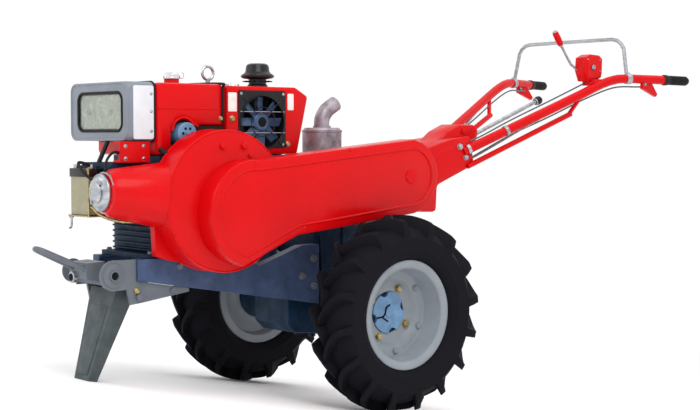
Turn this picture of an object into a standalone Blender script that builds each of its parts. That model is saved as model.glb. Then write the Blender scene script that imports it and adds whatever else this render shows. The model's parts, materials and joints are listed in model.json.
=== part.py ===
"""Walking tractor: a two-wheeled diesel tractor that is steered from behind, parked on its front stand.

Every size is in metres. Shapes are given in the machine's own frame: origin in the middle of the
wheel axle, +X forward, +Y to the driver's left, +Z up from the frame rails. The machine frame is
then tipped nose down until the foot of the stand meets the floor that the tyres stand on.
"""

import math

import bmesh
import bpy
from mathutils import Matrix, Vector

# Clearances
GAP = 0.0003
PIN_GAP = 0.0004
RUNNING_GAP = 0.006

# Wheels
TRACK = 0.774
TYRE_R = 0.312
TYRE_WIDTH = 0.165
RIM_SEAT_R = 0.150
RIM_FLANGE_R = 0.1725
RIM_WIDTH = 0.114
RIM_SHEET = 0.005
DISC_OUTER_SET = -0.020
DISC_INNER_SET = -0.040
DISC_STEP_R = 0.103
HUB_R = 0.066
HUB_FLANGE_R = 0.082
HUB_FACE_SET = -0.034
HUB_SLEEVE_R = 0.034
HUB_LENGTH = 0.045
AXLE_R = 0.020
AXLE_ENGAGE = 0.040
WHEEL_STEPS = 36

# Gearbox and axle
GEARBOX_HALF = 0.092
GEARBOX_NOSE = 0.200
GEARBOX_REAR = -0.230
GEARBOX_BELLY_R = 0.105
AXLE_TUBE_R = 0.043
AXLE_FLANGE_R = 0.070
CLUTCH_X = -0.140
CLUTCH_Z = 0.427
CLUTCH_HOUSING_R = 0.058
CLUTCH_HOUSING_LENGTH = 0.070
PULLEY_R = 0.100
PULLEY_LENGTH = 0.128
HITCH_REAR = -0.245
HITCH_HALF = 0.060
HITCH_FLOOR = -0.060
HITCH_TOP = 0.180

# Frame
RAIL_OUTER = 0.130
RAIL_SHEET = 0.006
RAIL_TOP = 0.197
RAIL_FRONT = 0.785
RAIL_FRONT_FLOOR = 0.134
RAIL_REAR = 0.105
RAIL_REAR_FLOOR = 0.016
BRACKET_HALF = 0.120
BRACKET_SHEET = 0.009
CHEEK_FRONT = 0.905
CHEEK_R = 0.045
CHEEK_Z = 0.153
CROSSBAR_LENGTH = 0.050
CROSSBAR_FLOOR = 0.118
CROSSBAR_TOP = 0.176
PIVOT_X = 0.778
PIVOT_Z = 0.086
PIVOT_R = 0.008
LUG_FRONT = 0.910
LUG_TOP = 0.190
LUG_HALF = 0.050
TOW_BAR_R = 0.0085
TOW_TIP_R = 0.020
TOW_ROOT_HALF = 0.036
TOW_TIP_X = 1.045
TOW_TIP_Z = 0.234
TOW_ROOT_X = 0.893
TOW_ROOT_Z = 0.164

# Stand
FOOT_X = 0.888
FOOT_Z = -0.163
FOOT_LENGTH = 0.030
LEG_TOP_WIDTH = 0.145
LEG_FOOT_WIDTH = 0.082
LEG_SHEET = 0.005

# Engine
BLOCK_FRONT = 0.700
BLOCK_REAR = 0.235
BLOCK_RIGHT = -0.150
BLOCK_LEFT = 0.112
BLOCK_TOP = 0.500
HEAD_FRONT = 0.836
HEAD_FLOOR = 0.330
HEAD_TOP = 0.480
HEAD_LEFT = 0.075
HEAD_RIGHT = -0.100
FEET_THICK = 0.014
FEET_FRONT = 0.760
CRANK_X = 0.533
CRANK_Z = 0.364
GUARD_R = 0.214
GUARD_SPIGOT_R = 0.120
GUARD_BACK = 0.138
GUARD_FACE = 0.232
GUARD_STEPS = 48
APRON_FRONT = 0.748
APRON_TOP = 0.300
APRON_THICK = 0.022
COVER_FACE = 0.305
COVER_SHEET = 0.008
COVER_BIG_R = 0.161
COVER_SMALL_R = 0.122
STARTER_NOSE = 0.905
STARTER_R = 0.101
STARTER_NOSE_R = 0.055
MOTOR_R = 0.055
MOTOR_FRONT = 0.922

# Battery
BATTERY_FLOOR = 0.326
BATTERY_TOP = 0.440
BATTERY_LEFT = 0.035
BATTERY_RIGHT = -0.070
BATTERY_LENGTH = 0.050
LID_HEIGHT = 0.022
LID_LIP = 0.003
TRAY_SHEET = 0.005

# Tank, headlamp and radiator hood
DECK_LEFT = 0.115
DECK_RIGHT = -0.235
TANK_FRONT = 0.705
TANK_REAR = 0.466
TANK_TOP = 0.717
TANK_FLOOR = 0.590
FILLER_X = 0.600
FILLER_Y = 0.030
FILLER_R = 0.023
FILLER_HEIGHT = 0.016
ALTERNATOR_R = 0.034
ALTERNATOR_X = 0.600
ALTERNATOR_Z = 0.566
HOOD_FRONT = 0.458
HOOD_REAR = 0.135
HOOD_TOP = 0.713
FAN_X = 0.320
FAN_Z = 0.602
FAN_R = 0.078
FAN_PANEL_HALF = 0.092
FAN_RECESS = 0.045
FAN_BLADES = 8
EYE_R = 0.021
EYE_ROD_R = 0.0048
PRECLEANER_X = 0.253
PRECLEANER_R = 0.053
LAMP_FRONT = 0.800
LAMP_LEFT = 0.105
LAMP_RIGHT = -0.230
LAMP_FLOOR = 0.543
LAMP_TOP = 0.719
LENS_LEFT = 0.070
LENS_RIGHT = -0.180
LENS_FLOOR = 0.576
LENS_TOP = 0.684
LENS_DEEP = 0.012

# Exhaust
MUFFLER_R = 0.066
MUFFLER_X = -0.030
MUFFLER_Y = -0.020
MUFFLER_FLOOR = 0.462
MUFFLER_TOP = 0.586
EXHAUST_R = 0.026
EXHAUST_SHEET = 0.004
MANIFOLD_R = 0.017

# Handles
BASE_HALF = 0.100
HUMP_HALF = 0.056
HANDLE_R = 0.017
BRACE_R = 0.010
HOOP_R = 0.0075
HOOP_X = -1.250
HOOP_TOP = 0.930
HOOP_CORNER_R = 0.060
GRIP_R = 0.0165
GRIP_LENGTH = 0.112
LEVER_SHEET = 0.012


def clear_scene():
    for obj in list(bpy.data.objects):
        bpy.data.objects.remove(obj, do_unlink=True)


def paint(name, colour, roughness, metallic=0.0):
    """A Principled material of one linear colour."""
    material = bpy.data.materials.new(name)
    material.use_nodes = True
    shader = material.node_tree.nodes["Principled BSDF"]
    shader.inputs["Base Color"].default_value = (*colour, 1.0)
    shader.inputs["Roughness"].default_value = roughness
    shader.inputs["Metallic"].default_value = metallic
    return material


def empty(name, location, parent=None):
    obj = bpy.data.objects.new(name, None)
    obj.location = location
    obj.parent = parent
    bpy.context.scene.collection.objects.link(obj)
    return obj


def add_object(name, bm, parent, material=None, smooth=False):
    """Turns a bmesh into a named object under parent. The bmesh is in machine coordinates."""
    bmesh.ops.recalc_face_normals(bm, faces=bm.faces)
    mesh = bpy.data.meshes.new(name)
    offset = Vector((0.0, 0.0, 0.0))
    if parent is not None and parent.parent is not None:
        offset = parent.location
    bmesh.ops.translate(bm, vec=-offset, verts=bm.verts)
    bm.to_mesh(mesh)
    bm.free()
    obj = bpy.data.objects.new(name, mesh)
    obj.parent = parent
    bpy.context.scene.collection.objects.link(obj)
    if material is not None:
        mesh.materials.append(material)
    if smooth:
        mesh.shade_smooth()
        mesh.set_sharp_from_angle(angle=math.radians(35.0))
    return obj


def boolean(obj, bm, operation):
    """Cuts or joins a helper shape with a modifier. The helper isn't rendered."""
    helper = add_object(f"{obj.name}_{operation.lower()}_{len(obj.modifiers)}", bm, obj.parent)
    helper.hide_render = True
    helper.display_type = "WIRE"
    modifier = obj.modifiers.new(operation.title(), "BOOLEAN")
    modifier.operation = operation
    modifier.solver = "EXACT"
    modifier.object = helper
    return obj


def cut(obj, bm):
    return boolean(obj, bm, "DIFFERENCE")


def join(obj, bm):
    return boolean(obj, bm, "UNION")


AXES = {
    "X": lambda a, b, along: (along, a, b),
    "Y": lambda a, b, along: (a, along, b),
    "Z": lambda a, b, along: (a, b, along),
}


def prism(outline, low, high, axis="Y"):
    """Extrudes a closed outline. Its points are (x, z) along Y, (y, z) along X and (x, y) along Z."""
    bm = bmesh.new()
    place = AXES[axis]
    bottom = [bm.verts.new(place(a, b, low)) for a, b in outline]
    top = [bm.verts.new(place(a, b, high)) for a, b in outline]
    bm.faces.new(bottom)
    bm.faces.new(list(reversed(top)))
    for i in range(len(outline)):
        j = (i + 1) % len(outline)
        bm.faces.new((bottom[i], bottom[j], top[j], top[i]))
    return bm


def block(low, high):
    outline = [(low[0], low[1]), (high[0], low[1]), (high[0], high[1]), (low[0], high[1])]
    return prism(outline, low[2], high[2], "Z")


def turned(profile, centre, axis="Y", steps=32, phase=0.0):
    """Turns a closed profile of (radius, along) points about a line through centre."""
    bm = bmesh.new()
    place = AXES[axis]
    middle = Vector(centre)
    rings = []
    for radius, along in profile:
        if radius < 1e-6:
            rings.append([bm.verts.new(middle + Vector(place(0.0, 0.0, along)))])
            continue
        ring = []
        for k in range(steps):
            angle = phase + 2.0 * math.pi * k / steps
            spot = place(radius * math.cos(angle), radius * math.sin(angle), along)
            ring.append(bm.verts.new(middle + Vector(spot)))
        rings.append(ring)
    for i, ring in enumerate(rings):
        after = rings[(i + 1) % len(rings)]
        if len(ring) == 1 and len(after) == 1:
            continue
        for k in range(steps):
            n = (k + 1) % steps
            if len(ring) == 1:
                bm.faces.new((ring[0], after[n], after[k]))
            elif len(after) == 1:
                bm.faces.new((ring[k], ring[n], after[0]))
            else:
                bm.faces.new((ring[k], ring[n], after[n], after[k]))
    return bm


def drum(radius, low, high, centre, axis="Y", steps=24):
    """A plain round bar between two places along the axis, measured from centre."""
    return turned([(0.0, low), (radius, low), (radius, high), (0.0, high)], centre, axis, steps)


def smooth_path(points, per_span=3):
    """Points along a smooth curve through the given ones (Catmull-Rom)."""
    corners = [Vector(p) for p in points]
    ends = [2 * corners[0] - corners[1]] + corners + [2 * corners[-1] - corners[-2]]
    path = []
    for i in range(len(corners) - 1):
        p0, p1, p2, p3 = ends[i : i + 4]
        for k in range(per_span):
            t = k / per_span
            path.append(
                0.5
                * (
                    2 * p1
                    + (p2 - p0) * t
                    + (2 * p0 - 5 * p1 + 4 * p2 - p3) * t * t
                    + (3 * p1 - p0 - 3 * p2 + p3) * t**3
                )
            )
    path.append(corners[-1])
    return path


def tube(path, radius, sides=10):
    """Sweeps a circle along a path. Radius may be a list with one value per point."""
    bm = bmesh.new()
    points = [Vector(p) for p in path]
    radii = radius if isinstance(radius, list) else [radius] * len(points)
    rings = []
    side = None
    for i, point in enumerate(points):
        ahead = points[min(i + 1, len(points) - 1)] - points[max(i - 1, 0)]
        ahead.normalize()
        if side is None:
            side = ahead.orthogonal().normalized()
        side = (side - ahead * side.dot(ahead)).normalized()
        up = ahead.cross(side)
        ring = []
        for k in range(sides):
            angle = 2.0 * math.pi * k / sides
            ring.append(
                bm.verts.new(point + radii[i] * (math.cos(angle) * side + math.sin(angle) * up))
            )
        rings.append(ring)
    for ring, after in zip(rings, rings[1:]):
        for k in range(sides):
            n = (k + 1) % sides
            bm.faces.new((ring[k], ring[n], after[n], after[k]))
    bm.faces.new(list(reversed(rings[0])))
    bm.faces.new(rings[-1])
    return bm


def arc(centre, radius, start, end, steps):
    """Points on a round stretch of an outline, angles in degrees."""
    spots = []
    for k in range(steps + 1):
        angle = math.radians(start + (end - start) * k / steps)
        spots.append((centre[0] + radius * math.cos(angle), centre[1] + radius * math.sin(angle)))
    return spots


def rounded(low, high, radius, steps=4):
    """A rectangle outline with round corners, from its low and high corners."""
    spots = []
    spots += arc((high[0] - radius, low[1] + radius), radius, -90, 0, steps)
    spots += arc((high[0] - radius, high[1] - radius), radius, 0, 90, steps)
    spots += arc((low[0] + radius, high[1] - radius), radius, 90, 180, steps)
    spots += arc((low[0] + radius, low[1] + radius), radius, 180, 270, steps)
    return spots


def inset(outline, by):
    """A smaller copy of an outline, each point moved in along the bisector of its two sides."""
    count = len(outline)
    area = 0.0
    for i in range(count):
        a, b = outline[i], outline[(i + 1) % count]
        area += a[0] * b[1] - b[0] * a[1]
    turn = 1.0 if area > 0 else -1.0
    result = []
    for i in range(count):
        here = Vector(outline[i])
        before = (here - Vector(outline[i - 1])).normalized()
        after = (Vector(outline[(i + 1) % count]) - here).normalized()
        normal = Vector((-before.y, before.x)) * turn
        middle = (normal + Vector((-after.y, after.x)) * turn).normalized()
        result.append(tuple(here + middle * (by / max(0.3, middle.dot(normal)))))
    return result


def fillet(outline, radius, steps=2):
    """Rounds every real corner of an outline, less where its sides are short."""
    spots = []
    for i, corner in enumerate(outline):
        here = Vector(corner)
        back = Vector(outline[i - 1]) - here
        ahead = Vector(outline[(i + 1) % len(outline)]) - here
        bend = back.angle(ahead)
        if bend > math.radians(160.0):
            spots.append(corner)
            continue
        reach = min(radius / math.tan(bend / 2), 0.45 * min(back.length, ahead.length))
        start = here + back.normalized() * reach
        end = here + ahead.normalized() * reach
        for k in range(steps + 1):
            t = k / steps
            spots.append(tuple(start * (1 - t) ** 2 + here * (2 * t * (1 - t)) + end * t * t))
    return spots


def slab(outline, low, high, axis="Y", edge=0.006, ends="both"):
    """A prism with its edges rounded at the low end, the high end or both."""
    chamfer = 1.0 - math.sqrt(0.5)
    rings = [(0.0, low), (0.0, high)]
    if ends in ("low", "both"):
        rings[:1] = [(edge, low), (edge * chamfer, low + edge * chamfer), (0.0, low + edge)]
    if ends in ("high", "both"):
        rings[-1:] = [(0.0, high - edge), (edge * chamfer, high - edge * chamfer), (edge, high)]
    bm = bmesh.new()
    place = AXES[axis]
    loops = []
    for by, along in rings:
        spots = inset(outline, by) if by else outline
        loops.append([bm.verts.new(place(a, b, along)) for a, b in spots])
    bm.faces.new(loops[0])
    bm.faces.new(list(reversed(loops[-1])))
    for ring, after in zip(loops, loops[1:]):
        for i in range(len(ring)):
            j = (i + 1) % len(ring)
            bm.faces.new((ring[i], ring[j], after[j], after[i]))
    return bm


# ---------------------------------------------------------------- wheels


def tyre_profile():
    """Half of the section from bead to tread, then its mirror image."""
    bead = RIM_WIDTH / 2 - RIM_SHEET - GAP
    half = TYRE_WIDTH / 2
    wall = TYRE_R - RIM_FLANGE_R
    right = [
        (RIM_SEAT_R + GAP, bead),
        (RIM_FLANGE_R + GAP, bead),
        (RIM_FLANGE_R + 0.20 * wall, half - 0.004),
        (RIM_FLANGE_R + 0.42 * wall, half),
        (RIM_FLANGE_R + 0.70 * wall, half - 0.003),
        (RIM_FLANGE_R + 0.89 * wall, half - 0.011),
        (TYRE_R - 0.006, half - 0.036),
        (TYRE_R, half - 0.062),
    ]
    return right + [(r, -y) for r, y in reversed(right)]


def rim_profile(out):
    """Barrel with two flanges and a stepped disc. out is +1 on the left wheel, -1 on the right."""
    half = RIM_WIDTH / 2
    inner = RIM_SEAT_R - RIM_SHEET
    shape = [
        (RIM_FLANGE_R, half),
        (RIM_FLANGE_R, half - RIM_SHEET),
        (RIM_SEAT_R, half - RIM_SHEET),
        (RIM_SEAT_R, RIM_SHEET - half),
        (RIM_FLANGE_R, RIM_SHEET - half),
        (RIM_FLANGE_R, -half),
        (inner, -half),
        (inner, DISC_OUTER_SET - RIM_SHEET),
        (DISC_STEP_R + 0.002, DISC_OUTER_SET - RIM_SHEET),
        (DISC_STEP_R - 0.006, DISC_INNER_SET - RIM_SHEET),
        (HUB_R + GAP, DISC_INNER_SET - RIM_SHEET),
        (HUB_R + GAP, DISC_INNER_SET),
        (DISC_STEP_R - 0.010, DISC_INNER_SET),
        (DISC_STEP_R - 0.002, DISC_OUTER_SET),
        (inner, DISC_OUTER_SET),
        (inner, half),
    ]
    return [(r, y * out) for r, y in shape]


def hub_profile(out):
    """Boss, bolt flange behind the disc, sleeve, and the shaft end that runs in the axle tube."""
    behind = DISC_INNER_SET - RIM_SHEET - GAP
    inboard = behind - HUB_LENGTH
    shape = [
        (0.0, HUB_FACE_SET),
        (HUB_R - 0.006, HUB_FACE_SET),
        (HUB_R, HUB_FACE_SET - 0.006),
        (HUB_R, behind),
        (HUB_FLANGE_R, behind),
        (HUB_FLANGE_R, behind - 0.012),
        (HUB_SLEEVE_R, behind - 0.018),
        (HUB_SLEEVE_R, inboard),
        (AXLE_R, inboard),
        (AXLE_R, inboard - AXLE_ENGAGE),
        (0.0, inboard - AXLE_ENGAGE),
    ]
    return [(r, y * out) for r, y in shape]


def axle_tube_end():
    """Distance from the machine's middle to the outer end of an axle tube."""
    hub_end = TRACK / 2 + DISC_INNER_SET - RIM_SHEET - GAP - HUB_LENGTH
    return hub_end - RUNNING_GAP


def make_wheel(side, out, machine, paints):
    """One wheel on its own axis. A corner of the tread points straight at the floor."""
    centre = (0.0, out * TRACK / 2, 0.0)
    axis = empty(f"wheel_{side}_axis", centre, machine)
    phase = floor_angle()
    tyre = turned(tyre_profile(), centre, steps=WHEEL_STEPS, phase=phase)
    add_object(f"tyre_{side}", tyre, axis, paints["tyre"], True)
    rim = turned(rim_profile(out), centre, steps=WHEEL_STEPS, phase=phase)
    add_object(f"rim_{side}", rim, axis, paints["rim"], True)
    hub = turned(hub_profile(out), centre, steps=24, phase=phase)
    add_object(f"hub_{side}", hub, axis, paints["hub"], True)


def make_axle_tube(side, out, machine, paints):
    start = GEARBOX_HALF + GAP
    end = axle_tube_end()
    bore = AXLE_R + PIN_GAP
    deep = end - RUNNING_GAP - AXLE_ENGAGE
    profile = [
        (0.0, start),
        (AXLE_FLANGE_R, start),
        (AXLE_FLANGE_R, start + 0.014),
        (AXLE_TUBE_R, start + 0.024),
        (AXLE_TUBE_R, end - 0.018),
        (AXLE_TUBE_R + 0.008, end - 0.018),
        (AXLE_TUBE_R + 0.008, end),
        (bore, end),
        (bore, deep),
        (0.0, deep),
    ]
    profile = [(r, y * out) for r, y in profile]
    tube_body = turned(profile, (0, 0, 0), steps=24)
    add_object(f"axle_tube_{side}", tube_body, machine, paints["gearbox"], True)


# ---------------------------------------------------------------- drive and frame


def make_gearbox(machine, paints):
    """The gear case with its clutch housing and the drawbar block at its rear."""
    outline = [(GEARBOX_NOSE, 0.045), (GEARBOX_NOSE, -0.050), (0.170, -0.078), (0.060, -0.088)]
    outline += arc((0.0, 0.0), GEARBOX_BELLY_R, -65, -160, 6)
    outline += [(-0.150, 0.060), (-0.165, 0.285), (GEARBOX_REAR, 0.300), (GEARBOX_REAR, 0.430)]
    outline += [(-0.195, 0.452), (-0.090, 0.452), (-0.030, 0.400), (-0.010, 0.300)]
    outline += [(0.092, 0.250), (0.100, 0.050)]
    case = add_object(
        "gearbox_case", slab(outline, -GEARBOX_HALF, GEARBOX_HALF), machine, paints["gearbox"]
    )
    centre = (CLUTCH_X, 0.0, CLUTCH_Z)
    face = GEARBOX_HALF + CLUTCH_HOUSING_LENGTH
    profile = [
        (0.0, GEARBOX_HALF - 0.010),
        (CLUTCH_HOUSING_R, GEARBOX_HALF - 0.010),
        (CLUTCH_HOUSING_R, GEARBOX_HALF + 0.012),
        (CLUTCH_HOUSING_R - 0.020, GEARBOX_HALF + 0.020),
        (CLUTCH_HOUSING_R - 0.020, face),
        (0.0, face),
    ]
    join(case, turned(profile, centre, steps=24))
    join(case, block((HITCH_REAR, -HITCH_HALF, HITCH_FLOOR), (-0.090, HITCH_HALF, HITCH_TOP)))

    start = face + GAP
    profile = [
        (0.0, start),
        (PULLEY_R, start),
        (PULLEY_R, start + PULLEY_LENGTH),
        (PULLEY_R - 0.012, start + PULLEY_LENGTH),
        (PULLEY_R - 0.016, start + PULLEY_LENGTH - 0.030),
        (0.0, start + PULLEY_LENGTH - 0.030),
    ]
    add_object("clutch_pulley", turned(profile, centre), machine, paints["cast"], True)


def rail_outline():
    """Side outline of a rail: straight under the engine, dipping, then deep at the gearbox."""
    return [
        (RAIL_FRONT, RAIL_TOP),
        (RAIL_FRONT, RAIL_FRONT_FLOOR),
        (RAIL_REAR, RAIL_REAR_FLOOR),
        (RAIL_REAR, RAIL_TOP + 0.013),
        (0.175, RAIL_TOP + 0.011),
        (0.345, 0.152),
        (0.405, RAIL_TOP),
    ]


def rail_floor(x):
    """Height of the underside of the rails at x."""
    share = (x - RAIL_REAR) / (RAIL_FRONT - RAIL_REAR)
    return RAIL_REAR_FLOOR + share * (RAIL_FRONT_FLOOR - RAIL_REAR_FLOOR)


def make_rails(machine, paints):
    """Two channels, open towards each other, bolted to the sides of the gear case."""
    for side, out in (("left", 1.0), ("right", -1.0)):
        outer = out * RAIL_OUTER
        inner = out * (GEARBOX_HALF + GAP)
        shape = prism(rail_outline(), min(outer, inner), max(outer, inner))
        rail = add_object(f"frame_rail_{side}", shape, machine, paints["frame"])
        web = out * (RAIL_OUTER - RAIL_SHEET)
        far = out * (GEARBOX_HALF - 0.02)
        cut(rail, prism(inset(rail_outline(), RAIL_SHEET), min(web, far), max(web, far)))


def tow_path(reach_in):
    """Centre line of the hairpin loop. Its legs go reach_in further into the lug."""
    tip = Vector((TOW_TIP_X, 0.0, TOW_TIP_Z))
    root = Vector((TOW_ROOT_X, 0.0, TOW_ROOT_Z))
    along = (root - tip).normalized()
    middle = tip + along * TOW_TIP_R
    half = Vector((0.0, TOW_ROOT_HALF, 0.0))
    bend = Vector((0.0, TOW_TIP_R, 0.0))
    leg = (root + half) - (middle + bend)
    reach = leg.normalized() * reach_in
    loop = [root - half + Vector((reach.x, -reach.y, reach.z))]
    for k in range(7):
        angle = math.pi * k / 6
        loop.append(middle - bend * math.cos(angle) - along * TOW_TIP_R * math.sin(angle))
    loop.append(root + half + reach)
    return loop


def make_front_bracket(machine, paints):
    """Two cheeks under the rails, the crossbar between them, the pivot pin and the towing lug."""
    start = RAIL_FRONT + GAP
    under = 0.600
    below = 3 * GAP
    gusset = [(0.815, CROSSBAR_FLOOR - 0.008), (0.805, 0.064), (0.765, 0.068)]
    gusset += [(under, rail_floor(under) - 0.012), (under, rail_floor(under) - below)]
    gusset += [(start, RAIL_FRONT_FLOOR - below)]
    outline = [(start, RAIL_TOP)] + arc((CHEEK_FRONT - CHEEK_R, CHEEK_Z), CHEEK_R, 92, -84, 9)
    outline += gusset
    inner = BRACKET_HALF - BRACKET_SHEET
    bracket = add_object("front_bracket", prism(outline, inner, BRACKET_HALF), machine, paints["frame"])
    crossbar = start + 0.015
    plain = [(start, CROSSBAR_TOP), (crossbar + CROSSBAR_LENGTH, CROSSBAR_TOP)]
    plain += [(crossbar + CROSSBAR_LENGTH, CROSSBAR_FLOOR - 0.008)]
    join(bracket, prism(plain + gusset, -BRACKET_HALF, -inner))
    join(
        bracket,
        block(
            (crossbar, -inner - 0.002, CROSSBAR_FLOOR),
            (crossbar + CROSSBAR_LENGTH, inner + 0.002, CROSSBAR_TOP),
        ),
    )
    pivot = (PIVOT_X, 0.0, PIVOT_Z)
    join(bracket, drum(PIVOT_R, -BRACKET_HALF - 0.008, BRACKET_HALF + 0.008, pivot, steps=16))
    lug = [
        (crossbar + CROSSBAR_LENGTH - 0.002, CROSSBAR_FLOOR + 0.010),
        (LUG_FRONT, CROSSBAR_FLOOR + 0.022),
        (LUG_FRONT, LUG_TOP - 0.002),
        (crossbar + CROSSBAR_LENGTH - 0.002, LUG_TOP),
    ]
    join(bracket, prism(lug, -LUG_HALF, LUG_HALF))
    cut(bracket, tube(tow_path(GAP), TOW_BAR_R + GAP, 10))
    add_object("tow_loop", tube(tow_path(0.0), TOW_BAR_R, 10), machine, paints["frame"], True)


def floor_angle():
    """How far the machine tips forward for the foot to reach the floor that the tyres stand on."""
    reach = math.hypot(FOOT_X, FOOT_Z)
    return math.atan2(FOOT_Z, FOOT_X) + math.asin(TYRE_R / reach)


def wedge(top, foot):
    """A tapered bar: top and foot are each four (x, y, z) corners in the same order."""
    bm = bmesh.new()
    upper = [bm.verts.new(c) for c in top]
    lower = [bm.verts.new(c) for c in foot]
    bm.faces.new(upper)
    bm.faces.new(list(reversed(lower)))
    for i in range(4):
        j = (i + 1) % 4
        bm.faces.new((upper[i], lower[i], lower[j], upper[j]))
    return bm


def across(front, rear, half):
    """The four corners of a level cut through the leg."""
    side = Vector((0.0, half, 0.0))
    return [front - side, front + side, rear + side, rear - side]


def make_stand(machine, paints):
    """A tapered channel, open to the rear, that hangs from the pivot pin and ends flat on the floor."""
    tilt = floor_angle()
    axis = empty("stand_axis", (PIVOT_X, 0.0, PIVOT_Z), machine)
    level = Vector((math.cos(tilt), 0.0, math.sin(tilt)))
    foot = Vector((FOOT_X, 0.0, FOOT_Z))
    foot_front = foot + level * FOOT_LENGTH / 2
    foot_rear = foot - level * FOOT_LENGTH / 2
    top_front = Vector((PIVOT_X + 0.046, 0.0, PIVOT_Z + 0.022))
    top_rear = Vector((PIVOT_X - 0.024, 0.0, PIVOT_Z + 0.018))
    top_half = LEG_TOP_WIDTH / 2
    foot_half = LEG_FOOT_WIDTH / 2
    leg = add_object(
        "stand_leg",
        wedge(across(top_front, top_rear, top_half), across(foot_front, foot_rear, foot_half)),
        axis,
        paints["frame"],
    )
    down = (foot - top_front).normalized() * 0.05
    back = Vector((-0.05, 0.0, -0.012))
    sheet = Vector((-LEG_SHEET, 0.0, 0.0))
    hollow = wedge(
        across(top_front + sheet - down, top_rear + back - down, top_half - LEG_SHEET),
        across(foot_front + sheet + down, foot_rear + back + down, foot_half - LEG_SHEET),
    )
    cut(leg, hollow)
    bore = (PIVOT_X, 0.0, PIVOT_Z)
    cut(leg, drum(PIVOT_R + PIN_GAP, -BRACKET_HALF, BRACKET_HALF, bore, steps=16))


# ---------------------------------------------------------------- engine


def make_engine(machine, paints):
    floor = RAIL_TOP + GAP
    outline = [
        (BLOCK_FRONT, floor),
        (0.410, floor),
        (BLOCK_REAR, 0.300),
        (BLOCK_REAR, BLOCK_TOP),
        (BLOCK_FRONT, BLOCK_TOP),
    ]
    engine = add_object(
        "engine_block", slab(outline, BLOCK_RIGHT, BLOCK_LEFT), machine, paints["engine"]
    )
    head_low = (BLOCK_FRONT - 0.010, HEAD_RIGHT, HEAD_FLOOR)
    join(engine, block(head_low, (HEAD_FRONT, HEAD_LEFT, HEAD_TOP)))
    feet_low = (BLOCK_FRONT - 0.200, -BRACKET_HALF, floor)
    join(engine, block(feet_low, (FEET_FRONT, BRACKET_HALF, floor + FEET_THICK)))


def make_guard(machine, paints):
    """The round flywheel guard, and the belt cover that runs back from it to the clutch."""
    centre = (CRANK_X, 0.0, CRANK_Z)
    back = BLOCK_LEFT + GAP
    profile = [
        (0.0, back),
        (GUARD_SPIGOT_R, back),
        (GUARD_SPIGOT_R, GUARD_BACK),
        (GUARD_R, GUARD_BACK),
        (GUARD_R, GUARD_FACE - 0.010),
        (GUARD_R - 0.003, GUARD_FACE - 0.003),
        (GUARD_R - 0.010, GUARD_FACE),
        (0.0, GUARD_FACE),
    ]
    shape = turned(profile, centre, steps=GUARD_STEPS)
    guard = add_object("flywheel_guard", shape, machine, paints["red"], True)
    apron = [(0.600, APRON_TOP), (0.600, 0.170), (0.700, 0.1925), (0.742, 0.206)]
    apron.append((APRON_FRONT, APRON_TOP))
    join(guard, prism(apron, GUARD_BACK, GUARD_BACK + APRON_THICK))

    start = GUARD_FACE + GAP
    big = (CRANK_X - 0.049, CRANK_Z - 0.035)
    small = (CLUTCH_X, CLUTCH_Z)
    outline = arc(big, COVER_BIG_R, -75, 98, 12)
    outline += arc(small, COVER_SMALL_R, 98, 262, 10)
    outline += [(0.165, 0.272), (0.322, 0.257)]
    shape = slab(outline, start, COVER_FACE, edge=0.009, ends="high")
    cover = add_object("belt_cover", shape, machine, paints["red"])
    well_centre = (CLUTCH_X, 0.0, CLUTCH_Z)
    well = drum(PULLEY_R + RUNNING_GAP, start - 0.010, COVER_FACE - COVER_SHEET, well_centre)
    cut(cover, well)


def make_starter(machine, paints):
    """Round red cover ahead of the flywheel, and the bare starter motor that shows at its front."""
    y = 0.150
    path = [(BLOCK_FRONT, y, 0.383), (STARTER_NOSE - 0.020, y, 0.395), (STARTER_NOSE, y, 0.396)]
    radii = [STARTER_R, STARTER_NOSE_R + 0.015, STARTER_NOSE_R]
    cover = add_object("starter_cover", tube(path, radii, 24), machine, paints["red"], True)
    drum_centre = (CRANK_X, 0.0, CRANK_Z)
    cut(cover, drum(GUARD_R + GAP, 0.100, GUARD_FACE + 0.100, drum_centre, steps=GUARD_STEPS))
    apron_high = (APRON_FRONT + GAP, GUARD_BACK + APRON_THICK + GAP, APRON_TOP + GAP)
    cut(cover, block((0.600, 0.100, 0.0), apron_high))
    cut(cover, block((0.600, -0.200, 0.0), (HEAD_FRONT + GAP, HEAD_LEFT + GAP, 0.600)))
    cut(cover, block((0.600, -0.200, 0.0), (BLOCK_FRONT + GAP, BLOCK_LEFT + GAP, 0.600)))
    cut(cover, block((STARTER_NOSE, -0.200, 0.0), (STARTER_NOSE + 0.100, 0.400, 0.600)))
    start = STARTER_NOSE + GAP
    motor = [(0.0, start), (MOTOR_R, start), (MOTOR_R, MOTOR_FRONT - 0.010)]
    motor += [(MOTOR_R - 0.012, MOTOR_FRONT), (0.0, MOTOR_FRONT)]
    shape = turned(motor, (0.0, 0.131, 0.396), "X", steps=24)
    add_object("starter_motor", shape, machine, paints["steel"], True)


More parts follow.
